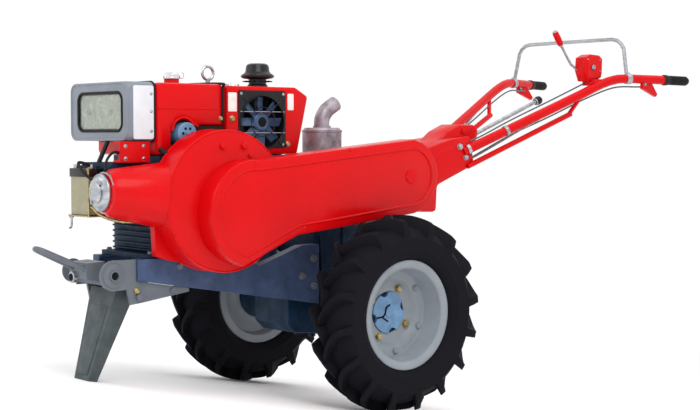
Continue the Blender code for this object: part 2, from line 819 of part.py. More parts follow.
def make_battery(machine, paints):
    """An L-shaped tray on the front of the cylinder head, and the battery that stands in it."""
    back = HEAD_FRONT + GAP
    start = back + TRAY_SHEET + GAP
    low_y = BATTERY_RIGHT - 0.005
    high_y = BATTERY_LEFT + 0.010
    floor = BATTERY_FLOOR - GAP - TRAY_SHEET
    front = start + BATTERY_LENGTH + 0.008
    shape = block((back, low_y, floor), (front, high_y, floor + TRAY_SHEET))
    tray = add_object("battery_tray", shape, machine, paints["zinc"])
    join(tray, block((back, low_y, floor), (back + TRAY_SHEET, high_y, BATTERY_TOP - 0.020)))
    front = start + BATTERY_LENGTH
    shape = block((start, BATTERY_RIGHT, BATTERY_FLOOR), (front, BATTERY_LEFT, BATTERY_TOP))
    battery = add_object("battery", shape, machine, paints["battery"])
    lid_low = (start - LID_LIP, BATTERY_RIGHT - LID_LIP, BATTERY_TOP - 0.002)
    lid_high = (front + LID_LIP, BATTERY_LEFT + LID_LIP, BATTERY_TOP + LID_HEIGHT)
    join(battery, block(lid_low, lid_high))


def make_tank(machine, paints):
    """Fuel tank, arched over the alternator, with the lifting eye that stands behind it."""
    seat = BLOCK_TOP + GAP
    leg = TANK_FRONT - 0.050
    outline = [(TANK_FRONT, seat), (TANK_FRONT, TANK_TOP), (TANK_REAR, TANK_TOP)]
    outline += [(TANK_REAR, TANK_FLOOR), (ALTERNATOR_X - 0.030, TANK_FLOOR)]
    outline += [(ALTERNATOR_X - 0.010, 0.607), (ALTERNATOR_X + 0.016, 0.614)]
    outline += [(ALTERNATOR_X + 0.040, 0.606), (leg, 0.575), (leg, seat)]
    shape = slab(fillet(outline, 0.014), DECK_RIGHT, DECK_LEFT, edge=0.010)
    tank = add_object("fuel_tank", shape, machine, paints["red"])
    join(tank, block((TANK_REAR + 0.006, -0.140, seat), (0.555, 0.050, TANK_FLOOR + 0.020)))
    spot = (FILLER_X, FILLER_Y, 0.0)
    lip = TANK_TOP + FILLER_HEIGHT
    join(tank, drum(FILLER_R, TANK_TOP - 0.010, lip, spot, "Z", 20))
    over = lip + GAP
    cap = [(0.0, over), (0.024, over), (0.024, over + 0.012), (0.018, over + 0.018)]
    cap += [(0.0, over + 0.018)]
    add_object("filler_cap", turned(cap, spot, "Z", 20), machine, paints["chrome"], True)

    eye_x = HOOD_FRONT - 0.012
    ring_z = HOOD_TOP + 2 * EYE_R
    bend = [math.radians(-80 + 340 * k / 14) for k in range(15)]
    points = [(eye_x + EYE_R * math.cos(a), 0.0, ring_z + EYE_R * math.sin(a)) for a in bend]
    ring = add_object("lifting_eye", tube(points, EYE_ROD_R, 8), machine, paints["steel"], True)
    stem = drum(0.007, HOOD_TOP + GAP, ring_z - EYE_R + 0.003, (eye_x, 0.0, 0.0), "Z", 12)
    join(ring, stem)

    body = [(0.0, -0.020), (ALTERNATOR_R, -0.020), (ALTERNATOR_R, 0.105), (0.026, 0.118)]
    body += [(0.0, 0.118)]
    centre = (ALTERNATOR_X, 0.0, ALTERNATOR_Z)
    alternator = add_object("alternator", turned(body, centre), machine, paints["hub"], True)
    foot_low = (ALTERNATOR_X - 0.012, 0.010, seat)
    join(alternator, block(foot_low, (ALTERNATOR_X + 0.012, 0.060, ALTERNATOR_Z - 0.015)))


def make_lamp(machine, paints):
    """The wide lamp box on the front of the tank, and the bracket that carries it on the head."""
    outline = rounded((LAMP_RIGHT, LAMP_FLOOR), (LAMP_LEFT, LAMP_TOP), 0.022)
    shape = slab(outline, TANK_FRONT + GAP, LAMP_FRONT, "X", 0.006, "high")
    housing = add_object("headlamp_housing", shape, machine, paints["lamp"], True)
    back = LAMP_FRONT - LENS_DEEP
    window = rounded((LENS_RIGHT, LENS_FLOOR), (LENS_LEFT, LENS_TOP), 0.022)
    cut(housing, prism(window, back, LAMP_FRONT + 0.050, "X"))
    glass = prism(inset(window, GAP), back + GAP, LAMP_FRONT - 0.002, "X")
    add_object("headlamp_lens", glass, machine, paints["lens"], True)
    low = (BLOCK_FRONT + 0.022, -0.100, HEAD_TOP + GAP)
    box = block(low, (HEAD_FRONT, 0.100, LAMP_FLOOR - GAP))
    add_object("lamp_bracket", box, machine, paints["red"])


def make_hood(machine, paints):
    """Radiator hood with the fan behind its side panel, and the air precleaner on top."""
    outline = [
        (HOOD_FRONT, BLOCK_TOP + GAP),
        (HOOD_FRONT, HOOD_TOP),
        (HOOD_REAR + 0.050, HOOD_TOP),
        (HOOD_REAR, HOOD_TOP - 0.028),
        (HOOD_REAR + 0.044, BLOCK_TOP + GAP),
    ]
    shape = slab(fillet(outline, 0.010), DECK_RIGHT, DECK_LEFT, edge=0.008)
    hood = add_object("radiator_hood", shape, machine, paints["red"])
    low = (FAN_X - FAN_PANEL_HALF, FAN_Z - FAN_PANEL_HALF + 0.010)
    high = (FAN_X + FAN_PANEL_HALF, FAN_Z + FAN_PANEL_HALF + 0.006)
    panel = rounded(low, high, 0.006, 1)
    back = DECK_LEFT - FAN_RECESS
    cut(hood, prism(panel, back, DECK_LEFT + 0.020))
    shape = prism(inset(panel, GAP), back + GAP, DECK_LEFT + 0.002)
    shroud = add_object("fan_shroud", shape, machine, paints["black"])
    centre = (FAN_X, 0.0, FAN_Z)
    well = drum(FAN_R + RUNNING_GAP, back + 0.008, DECK_LEFT + 0.020, centre, steps=32)
    cut(shroud, well)
    nose = DECK_LEFT - 0.020
    join(shroud, drum(0.008, back + 0.006, nose, centre, steps=12))

    axis = empty("fan_axis", (FAN_X, DECK_LEFT, FAN_Z), machine)
    behind = nose + PIN_GAP
    boss = [(0.0, behind), (0.030, behind), (0.030, DECK_LEFT - 0.004), (0.024, DECK_LEFT)]
    boss += [(0.0, DECK_LEFT)]
    fan = add_object("cooling_fan", turned(boss, centre, steps=20), axis, paints["hub"], True)
    twist = Matrix.Rotation(math.radians(28.0), 4, "Z")
    for k in range(FAN_BLADES):
        blade = block((-0.014, -0.0015, 0.020), (0.014, 0.0015, FAN_R))
        spin = Matrix.Rotation(2.0 * math.pi * k / FAN_BLADES, 4, "Y")
        middle = Matrix.Translation((FAN_X, behind + 0.009, FAN_Z))
        bmesh.ops.transform(blade, matrix=middle @ spin @ twist, verts=blade.verts)
        join(fan, blade)

    base = HOOD_TOP + GAP
    profile = [
        (0.0, base),
        (0.022, base),
        (0.020, base + 0.026),
        (PRECLEANER_R - 0.003, base + 0.024),
        (PRECLEANER_R, base + 0.030),
        (PRECLEANER_R - 0.005, base + 0.066),
        (PRECLEANER_R - 0.015, base + 0.076),
        (0.0, base + 0.078),
    ]
    spot = (PRECLEANER_X, 0.0, 0.0)
    add_object("air_precleaner", turned(profile, spot, "Z", 28), machine, paints["black"], True)


def make_muffler(machine, paints):
    """Upright silencer behind the engine, its manifold pipe and the open elbow on top."""
    centre = (MUFFLER_X, MUFFLER_Y, 0.0)
    profile = [
        (0.0, MUFFLER_FLOOR),
        (MUFFLER_R, MUFFLER_FLOOR),
        (MUFFLER_R, MUFFLER_TOP - 0.010),
        (MUFFLER_R - 0.008, MUFFLER_TOP),
        (0.0, MUFFLER_TOP),
    ]
    can = add_object("muffler", turned(profile, centre, "Z", 28), machine, paints["exhaust"], True)
    pipe_z = BLOCK_TOP - 0.020
    reach = [(MUFFLER_X, MUFFLER_Y, pipe_z), (BLOCK_REAR - GAP, MUFFLER_Y, pipe_z)]
    join(can, tube(reach, MANIFOLD_R, 12))
    rises = [(0.0, -0.010), (0.0, 0.028), (-0.020, 0.058), (-0.058, 0.082)]
    bend = [(MUFFLER_X + x, MUFFLER_Y, MUFFLER_TOP + z) for x, z in rises]
    path = smooth_path(bend, 3)
    join(can, tube(path, EXHAUST_R, 14))
    inner = path[4:] + [path[-1] + (path[-1] - path[-2])]
    cut(can, tube(inner, EXHAUST_R - EXHAUST_SHEET, 14))


# ---------------------------------------------------------------- handles


def handle_path(out):
    """Centre line of a handlebar from its socket in the base to the start of its grip."""
    points = [
        (-0.585, 0.092, 0.502),
        (-0.903, 0.192, 0.645),
        (-1.065, 0.243, 0.718),
        (-1.134, 0.260, 0.749),
        (-1.207, 0.281, 0.770),
        (-1.290, 0.307, 0.771),
        (-1.398, 0.340, 0.769),
    ]
    return smooth_path([(x, y * out, z) for x, y, z in points], 2)


def brace_path(out):
    """Centre line of the thinner tube under a handlebar."""
    return [Vector((-0.600, 0.100 * out, 0.450)), Vector((-1.030, 0.205 * out, 0.640))]


def make_handles(machine, paints):
    front = GEARBOX_REAR - GAP
    outline = [
        (front, 0.300),
        (front, 0.430),
        (-0.400, 0.515),
        (-0.520, 0.548),
        (-0.618, 0.560),
        (-0.637, 0.454),
        (-0.455, 0.385),
        (-0.450, 0.292),
    ]
    shape = slab(fillet(outline, 0.015), -BASE_HALF, BASE_HALF, edge=0.010)
    base = add_object("handle_base", shape, machine, paints["red"])
    hump = [(-0.460, 0.510), (-0.550, 0.576), (-0.610, 0.600), (-0.680, 0.600)]
    hump += [(-0.704, 0.580), (-0.690, 0.530), (-0.600, 0.505)]
    join(base, slab(fillet(hump, 0.020), -HUMP_HALF, HUMP_HALF, edge=0.012))
    for side, out in (("left", 1.0), ("right", -1.0)):
        path = handle_path(out)
        socket = [path[0] + (path[0] - path[1]).normalized() * GAP] + path[1:]
        cut(base, tube(socket, HANDLE_R + GAP, 12))
        handle = tube(path, HANDLE_R, 12)
        handle = add_object(f"handle_{side}", handle, machine, paints["red"], True)
        brace = brace_path(out)
        socket = [brace[0] + (brace[0] - brace[1]).normalized() * GAP, brace[1]]
        cut(base, tube(socket, BRACE_R + GAP, 10))
        join(handle, tube(brace, BRACE_R, 10))
        top = Vector((-1.058, 0.240 * out, 0.715))
        join(handle, tube([brace[1] + (brace[0] - brace[1]).normalized() * 0.012, top], 0.008, 8))

        end = path[-1]
        along = (path[-1] - path[-2]).normalized()
        bend = Vector((-0.98, 0.18 * out, -0.02)).normalized()
        grip = [end + along * GAP, end + along * 0.012]
        for reach in (0.024, 0.90 * GRIP_LENGTH, GRIP_LENGTH - 0.001):
            grip.append(end + along * 0.010 + bend * reach)
        radii = [GRIP_R + 0.004, GRIP_R + 0.004, GRIP_R - 0.001, GRIP_R + 0.001, GRIP_R - 0.004]
        add_object(f"grip_{side}", tube(grip, radii, 12), machine, paints["black"], True)

    hoop = hoop_path()
    rail = add_object("guard_hoop", tube(hoop, HOOP_R, 10), machine, paints["steel"], True)
    for out in (1.0, -1.0):
        cut(rail, tube(handle_path(out), HANDLE_R + GAP, 12))


def hoop_path():
    """Centre line of the hoop that stands on both handlebars."""
    corner = HOOP_CORNER_R
    half = 0.270
    low = Vector((HOOP_X, -0.288, 0.772))
    high_z = HOOP_TOP - HOOP_R
    side = [low, Vector((HOOP_X - 0.006, -half, high_z - corner))]
    for k in range(1, 5):
        angle = math.radians(180.0 - 22.5 * k)
        y = -half + corner + corner * math.cos(angle)
        side.append(Vector((HOOP_X - 0.007, y, high_z - corner + corner * math.sin(angle))))
    return side + [Vector((p.x, -p.y, p.z)) for p in reversed(side)]


def make_controls(machine, paints):
    """Control box and clutch lever on the left handlebar, gear stick, and the steering levers."""
    outline = [(-1.140, 0.760), (-1.085, 0.760), (-1.067, 0.800), (-1.072, 0.848)]
    outline += [(-1.100, 0.860), (-1.150, 0.858), (-1.168, 0.845), (-1.166, 0.790)]
    shape = slab(outline, 0.188, 0.2405, edge=0.006)
    control = add_object("control_box", shape, machine, paints["red"])
    join(control, block((-1.146, 0.200, 0.745), (-1.100, 0.262, 0.768)))
    cut(control, tube(handle_path(1.0), HANDLE_R + GAP, 12))
    lever = [(-1.090, 0.200, 0.790), (-1.045, 0.190, 0.823), (-0.996, 0.190, 0.884)]
    lever += [(-0.990, 0.190, 0.892), (-0.955, 0.190, 0.940)]
    cut(control, tube(lever, 0.005 + GAP, 8))
    shape = tube(lever, [0.005, 0.005, 0.005, 0.009, 0.009], 8)
    add_object("clutch_lever", shape, machine, paints["red"], True)

    stick = [(-0.665, 0.040, 0.552), (-0.700, 0.042, 0.566), (-0.992, 0.060, 0.684)]
    stick += [(-0.996, 0.060, 0.6855), (-1.024, 0.060, 0.696)]
    cut(bpy.data.objects["handle_base"], tube(stick, 0.008 + GAP, 10))
    shape = tube(stick, [0.008, 0.008, 0.008, 0.014, 0.012], 10)
    add_object("gear_lever", shape, machine, paints["steel"], True)

    pad = [(-1.300, 0.735), (-1.300, 0.768), (-1.345, 0.768), (-1.388, 0.716), (-1.380, 0.706)]
    for side, out in (("left", 1.0), ("right", -1.0)):
        middle = 0.317 * out
        shape = prism(pad, middle - LEVER_SHEET / 2, middle + LEVER_SHEET / 2)
        lever = add_object(f"steering_lever_{side}", shape, machine, paints["red"])
        cut(lever, tube(handle_path(out), HANDLE_R + GAP, 12))


def place_on_floor(machine):
    """Puts the world origin under the middle of the machine's box."""
    bpy.context.view_layer.update()
    graph = bpy.context.evaluated_depsgraph_get()
    spots = []
    for obj in bpy.context.scene.objects:
        if obj.type != "MESH" or obj.hide_render:
            continue
        evaluated = obj.evaluated_get(graph)
        spots += [(evaluated.matrix_world @ v.co).x for v in evaluated.data.vertices]
    machine.location.x -= (min(spots) + max(spots)) / 2


def main():
    clear_scene()
    paints = {
        "red": paint("red_enamel", (0.800, 0.008, 0.012), 0.30),
        "frame": paint("grey_enamel", (0.130, 0.150, 0.170), 0.45),
        "gearbox": paint("navy_enamel", (0.018, 0.035, 0.060), 0.50),
        "engine": paint("engine_enamel", (0.022, 0.042, 0.065), 0.50),
        "tyre": paint("tyre_rubber", (0.012, 0.012, 0.012), 0.80),
        "rim": paint("rim_enamel", (0.420, 0.430, 0.430), 0.40),
        "hub": paint("blue_enamel", (0.080, 0.160, 0.260), 0.40),
        "lamp": paint("lamp_enamel", (0.330, 0.350, 0.380), 0.40),
        "lens": paint("lens_glass", (0.600, 0.620, 0.560), 0.10),
        "black": paint("black_plastic", (0.015, 0.015, 0.016), 0.50),
        "steel": paint("bare_steel", (0.350, 0.350, 0.350), 0.35, 1.0),
        "chrome": paint("chrome_plate", (0.600, 0.600, 0.600), 0.12, 1.0),
        "cast": paint("cast_iron", (0.060, 0.060, 0.062), 0.60, 0.6),
        "exhaust": paint("heated_steel", (0.220, 0.190, 0.180), 0.45, 0.8),
        "zinc": paint("yellow_zinc", (0.520, 0.430, 0.200), 0.35, 0.8),
        "battery": paint("olive_plastic", (0.420, 0.400, 0.270), 0.50),
    }
    machine = empty("machine", (0.0, 0.0, TYRE_R))
    machine.rotation_euler = (0.0, floor_angle(), 0.0)
    for side, out in (("left", 1.0), ("right", -1.0)):
        make_wheel(side, out, machine, paints)
        make_axle_tube(side, out, machine, paints)
    make_gearbox(machine, paints)
    make_rails(machine, paints)
    make_front_bracket(machine, paints)
    make_stand(machine, paints)
    make_engine(machine, paints)
    make_guard(machine, paints)
    make_starter(machine, paints)
    make_battery(machine, paints)
    make_tank(machine, paints)
    make_lamp(machine, paints)
    make_hood(machine, paints)
    make_muffler(machine, paints)
    make_handles(machine, paints)
    make_controls(machine, paints)
    place_on_floor(machine)


if __name__ == "__main__":
    main()
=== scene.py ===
"""Finishes, fastenings, tyres, cables and studio of a parked walking tractor.

Pieces are drawn in the machine's own level frame, in metres: origin in the middle of the wheel axle,
+X forward, +Y to the driver's left, +Z up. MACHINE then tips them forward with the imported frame.
"""

import json
import math

import bmesh
import bpy
import numpy as np
from bpy.props import FloatProperty, FloatVectorProperty, IntProperty, PointerProperty
from mathutils import Matrix, Vector


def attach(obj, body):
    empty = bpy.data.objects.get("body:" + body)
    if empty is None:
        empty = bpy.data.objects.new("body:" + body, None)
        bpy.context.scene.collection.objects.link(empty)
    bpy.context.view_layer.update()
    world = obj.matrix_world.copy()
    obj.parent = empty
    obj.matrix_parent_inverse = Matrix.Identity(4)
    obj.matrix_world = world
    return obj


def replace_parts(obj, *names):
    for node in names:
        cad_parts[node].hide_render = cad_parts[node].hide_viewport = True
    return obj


bl_info = {
    "name": "Walking Tractor",
    "version": (1, 0, 0),
    "blender": (4, 5, 0),
    "location": "3D View > Sidebar > Tractor",
    "description": "Finishes, fastenings, tyres, cables and studio of a walking tractor",
    "category": "Object",
}

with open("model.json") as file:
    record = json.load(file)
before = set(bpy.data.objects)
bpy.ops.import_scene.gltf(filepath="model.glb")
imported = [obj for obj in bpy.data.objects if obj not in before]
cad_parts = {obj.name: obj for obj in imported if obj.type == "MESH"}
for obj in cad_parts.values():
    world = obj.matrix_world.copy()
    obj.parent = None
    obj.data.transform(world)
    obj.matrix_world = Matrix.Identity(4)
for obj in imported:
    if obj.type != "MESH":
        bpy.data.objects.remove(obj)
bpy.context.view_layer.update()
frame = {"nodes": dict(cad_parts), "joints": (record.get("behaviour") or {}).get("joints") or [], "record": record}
SIDES = (("left", 1.0), ("right", -1.0))
AXES = {
    "X": lambda a, b, along: (along, a, b),
    "Y": lambda a, b, along: (a, along, b),
    "Z": lambda a, b, along: (a, b, along),
}


def machine_matrix():
    """The tip and place of the machine's own frame, from the hitch face and the wheel hinge."""
    mounts = {mount["name"]: mount for mount in frame["record"]["mounts"]}
    hinges = {joint["name"]: joint for joint in frame["joints"]}
    back = Vector(mounts["rear_hitch_face"]["axis"])
    hub = hinges["wheel_left_spin"]["pos_m"]
    c, s = -back.x, back.z
    return Matrix(((c, 0, s, hub[0]), (0, 1, 0, 0), (-s, 0, c, hub[2]), (0, 0, 0, 1)))


MACHINE = machine_matrix()
LEVEL = MACHINE.inverted()

# Places on the machine, in its own frame, that several pieces share.
CRANK = (0.533, 0.364)
GUARD_FACE = 0.232
SEAM_Z = 0.640
PANEL_SET = 0.0002

# Studio: where the camera stands and which way it looks, and each soft light's place and size.
CAMERA_PLACE = (2.990, 3.700, 0.560)
CAMERA_AHEAD = (-0.6447, -0.7629, -0.0488)
CAMERA_RIGHT = (-0.7638, 0.6455, 0.0)
SENSOR_WIDTH = 36.0
LIGHT_AIM = (0.1, 0.0, 0.6)
LIGHTS = (
    ("key_light", (2.6, 3.2, 4.2), 3.0, "key_power"),
    ("fill_light", (4.5, -2.0, 2.4), 3.0, "fill_power"),
    ("top_light", (-1.2, 0.6, 4.6), 4.0, "fill_power"),
)


def machine_box(node):
    """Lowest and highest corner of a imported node, in the machine's frame."""
    spots = np.array([LEVEL @ v.co for v in frame["nodes"][node].data.vertices])
    return Vector(spots.min(axis=0)), Vector(spots.max(axis=0))


def srgb(code):
    """Linear red, green and blue of an sRGB hex value."""
    parts = [int(code[i : i + 2], 16) / 255.0 for i in (0, 2, 4)]
    return tuple(p / 12.92 if p <= 0.04045 else ((p + 0.055) / 1.055) ** 2.4 for p in parts)


def colour(name, code, description):
    return FloatVectorProperty(
        name=name, description=description, subtype="COLOR", size=3, min=0.0, max=1.0, default=srgb(code)
    )


def length(name, metres, description):
    return FloatProperty(
        name=name, description=description, default=metres, min=0.0, unit="LENGTH", precision=4
    )


class TractorColours(bpy.types.PropertyGroup):
    red: colour("Red enamel", "CA060C", "Gloss enamel of the sheet metal and handlebars")
    grey: colour("Grey enamel", "666D75", "Satin enamel of the frame and the stand")
    navy: colour("Navy enamel", "1A324B", "Enamel on the engine and gear case castings")
    blue: colour("Blue enamel", "6E93B8", "Enamel of the hubs, fan and alternator")
    silver: colour("Rim enamel", "8A9097", "Enamel of the wheel rims")
    lamp: colour("Lamp enamel", "79808A", "Enamel of the headlamp box")
    rubber: colour("Tyre rubber", "121217", "Carbon black rubber")
    olive: colour("Battery case", "949073", "Moulded polypropylene of the battery")
    exhaust: colour("Exhaust", "AFA6B0", "Heat darkened steel of the silencer")
    floor: colour("Floor", "FEFEFE", "Pale studio floor")


class TractorSizes(bpy.types.PropertyGroup):
    lugs: IntProperty(
        name="Lugs per side", description="Tread bars on each half of a tyre", default=16, min=6, max=30
    )
    lug_width: length("Lug width", 0.021, "Width of a tread bar at its top")
    lug_sweep: FloatProperty(
        name="Lug sweep",
        description="Angle that a tread bar runs round the tyre from its middle to its shoulder",
        default=math.radians(17.0),
        subtype="ANGLE",
    )
    edge: length("Edge radius", 0.0022, "Rounding of sheet metal and casting edges")
    bolt: length("Bolt size", 0.010, "Thread size of the common bolts")
    cable: length("Cable radius", 0.0030, "Radius of the control cables")
    rim_bolts: IntProperty(name="Rim bolts", description="Bolts round a wheel disc", default=6, min=3)
    hub_bolts: IntProperty(name="Hub bolts", description="Bolts round a hub", default=4, min=3)


class TractorStudio(bpy.types.PropertyGroup):
    focal_length: FloatProperty(
        name="Focal length", description="Lens of the camera in millimetres", default=73.2, min=10.0
    )
    key_power: FloatProperty(
        name="Key light", description="Power of the main soft light in watts", default=120.0
    )
    fill_power: FloatProperty(
        name="Fill light", description="Power of the second soft light in watts", default=30.0
    )
    sky: FloatProperty(name="Surround", description="Brightness of the pale surround", default=1.02)
    floor_size: length("Floor size", 60.0, "Side of the floor")


# ---------------------------------------------------------------- shapes


def add_turned(bm, profile, centre, axis=(0, 1, 0), steps=32, phase=0.0, closed=True):
    """Turns (radius, along) points about an axis through centre."""
    axis = Vector(axis).normalized()
    side = Vector((1, 0, 0)) if abs(axis.x) < 0.9 else Vector((0, 1, 0))
    side = (side - axis * side.dot(axis)).normalized()
    up = axis.cross(side) if axis.y <= 0.5 else side.cross(axis)
    middle = Vector(centre)
    rings = []
    for radius, along in profile:
        if radius < 1e-6:
            rings.append([bm.verts.new(middle + axis * along)])
            continue
        ring = []
        for k in range(steps):
            angle = phase + 2.0 * math.pi * k / steps
            ring.append(
                bm.verts.new(middle + axis * along + radius * (math.cos(angle) * side + math.sin(angle) * up))
            )
        rings.append(ring)
    pairs = list(zip(rings, rings[1:]))
    if closed:
        pairs.append((rings[-1], rings[0]))
    for ring, after in pairs:
        if len(ring) == 1 and len(after) == 1:
            continue
        for k in range(steps):
            n = (k + 1) % steps
            if len(ring) == 1:
                bm.faces.new((ring[0], after[n], after[k]))
            elif len(after) == 1:
                bm.faces.new((ring[k], ring[n], after[0]))
            else:
                bm.faces.new((ring[k], ring[n], after[n], after[k]))


def add_drum(bm, radius, centre, axis, thick, steps=24, round_off=0.0):
    """A disc or bar that starts at centre and runs thick along its axis."""
    profile = [(0.0, 0.0), (radius, 0.0), (radius, thick - round_off)]
    if round_off:
        profile.append((radius - round_off * 0.3, thick - round_off * 0.3))
        profile.append((radius - round_off, thick))
    else:
        profile.append((radius, thick))
    add_turned(bm, profile + [(0.0, thick)], centre, axis, steps, closed=False)


def smooth_path(points, per_span=6):
    """Points along a smooth curve through the given ones (Catmull-Rom)."""
    corners = [Vector(p) for p in points]
    ends = [2 * corners[0] - corners[1]] + corners + [2 * corners[-1] - corners[-2]]
    path = []
    for i in range(len(corners) - 1):
        p0, p1, p2, p3 = ends[i : i + 4]
        for k in range(per_span):
            t = k / per_span
            even = 2 * p1 + (2 * p0 - 5 * p1 + 4 * p2 - p3) * t * t
            odd = (p2 - p0) * t + (3 * p1 - p0 - 3 * p2 + p3) * t**3
            path.append(0.5 * (even + odd))
    path.append(corners[-1])
    return path


def add_tube(bm, path, radius, sides=10, loop=False):
    """Sweeps a circle along a path. Radius may be one value per point."""
    points = [Vector(p) for p in path]
    count = len(points)
    radii = radius if isinstance(radius, list) else [radius] * count
    rings = []
    side = None
    for i, point in enumerate(points):
        if loop:
            ahead = points[(i + 1) % count] - points[i - 1]
        else:
            ahead = points[min(i + 1, count - 1)] - points[max(i - 1, 0)]
        ahead.normalize()
        if side is None:
            side = ahead.orthogonal().normalized()
        side = (side - ahead * side.dot(ahead)).normalized()
        up = ahead.cross(side)
        ring = []
        for k in range(sides):
            angle = 2.0 * math.pi * k / sides
            ring.append(bm.verts.new(point + radii[i] * (math.cos(angle) * side + math.sin(angle) * up)))
        rings.append(ring)
    pairs = list(zip(rings, rings[1:]))
    if loop:
        pairs.append((rings[-1], rings[0]))
    for ring, after in pairs:
        for k in range(sides):
            n = (k + 1) % sides
            bm.faces.new((ring[k], ring[n], after[n], after[k]))
    if not loop:
        bm.faces.new(list(reversed(rings[0])))
        bm.faces.new(rings[-1])


def add_prism(bm, outline, low, high, axis="Y"):
    """Extrudes a closed outline: (x, z) along Y, (y, z) along X and (x, y) along Z."""
    place = AXES[axis]
    bottom = [bm.verts.new(place(a, b, low)) for a, b in outline]
    top = [bm.verts.new(place(a, b, high)) for a, b in outline]
    bm.faces.new(bottom)
    bm.faces.new(list(reversed(top)))
    for i in range(len(outline)):
        j = (i + 1) % len(outline)
        bm.faces.new((bottom[i], bottom[j], top[j], top[i]))


def add_block(bm, low, high):
    outline = [(low[0], low[1]), (high[0], low[1]), (high[0], high[1]), (low[0], high[1])]
    add_prism(bm, outline, low[2], high[2], "Z")


def add_bolt(bm, at, axis, size=0.010, proud=None, phase=0.3):
    """A washer and a chamfered hexagon head. at is on the surface that the bolt holds down."""
    axis = Vector(axis).normalized()
    at = Vector(at)
    washer = 0.18 * size
    tall = proud if proud is not None else 0.65 * size
    add_turned(
        bm,
        [
            (0.0, -0.001),
            (1.05 * size, -0.001),
            (1.05 * size, washer * 0.8),
            (1.0 * size, washer),
            (0.0, washer),
        ],
        at,
        axis,
        18,
        closed=False,
    )
    across = 0.95 * size
    head = [(0.0, washer * 0.5), (across, washer * 0.5), (across, washer + tall * 0.78)]
    head += [(across * 0.84, washer + tall), (0.0, washer + tall)]
    add_turned(bm, head, at, axis, 6, phase, closed=False)


def add_screw(bm, at, axis, radius=0.004):
    """A domed screw head with a step for its washer."""
    rise = 0.55 * radius
    profile = [(0.0, -0.0006), (1.35 * radius, -0.0006), (1.35 * radius, 0.0005), (radius, 0.0006)]
    profile += [(0.92 * radius, 0.5 * rise), (0.6 * radius, 0.9 * rise), (0.0, rise)]
    add_turned(bm, profile, at, axis, 14, closed=False)


def arc(centre, radius, start, end, steps):
    """Points on a round stretch of an outline, angles in degrees."""
    spots = []
    for k in range(steps + 1):
        angle = math.radians(start + (end - start) * k / steps)
        spots.append((centre[0] + radius * math.cos(angle), centre[1] + radius * math.sin(angle)))
    return spots


def rounded(low, high, radius, steps=6):
    """A rectangle outline with round corners, from its low and high corners."""
    spots = arc((high[0] - radius, low[1] + radius), radius, -90, 0, steps)
    spots += arc((high[0] - radius, high[1] - radius), radius, 0, 90, steps)
    spots += arc((low[0] + radius, high[1] - radius), radius, 90, 180, steps)
    spots += arc((low[0] + radius, low[1] + radius), radius, 180, 270, steps)
    return spots


def piece(name, bm, body, material, bevel=0.0, smooth=32.0, segments=2):
    """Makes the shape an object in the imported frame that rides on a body."""
    bmesh.ops.recalc_face_normals(bm, faces=bm.faces)
    bmesh.ops.transform(bm, matrix=MACHINE, verts=bm.verts)
    mesh = bpy.data.meshes.new(name)
    bm.to_mesh(mesh)
    bm.free()
    mesh.materials.append(bpy.data.materials[material])
    mesh.shade_smooth()
    mesh.set_sharp_from_angle(angle=math.radians(smooth))
    obj = bpy.data.objects.new(name, mesh)
    bpy.context.scene.collection.objects.link(obj)
    if bevel:
        round_edges(obj, bevel, segments)
    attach(obj, body)
    return obj


def round_edges(obj, width, segments=2):
    modifier = obj.modifiers.new("Rounded edges", "BEVEL")
    modifier.width = width
    modifier.segments = segments
    modifier.limit_method = "ANGLE"
    modifier.angle_limit = math.radians(34.0)
    modifier.harden_normals = True


# ---------------------------------------------------------------- finishes


def add_node(tree, kind, links=None, **settings):
    """Adds one node. A setting is the node's own property or, failing that, its input's value."""
    made = tree.nodes.new(kind)
    for key, value in settings.items():
        if hasattr(made, key):
            setattr(made, key, value)
        else:
            made.inputs[key.replace("_", " ").title()].default_value = value
    for socket, source in (links or {}).items():
        tree.links.new(source, made.inputs[socket])
    return made


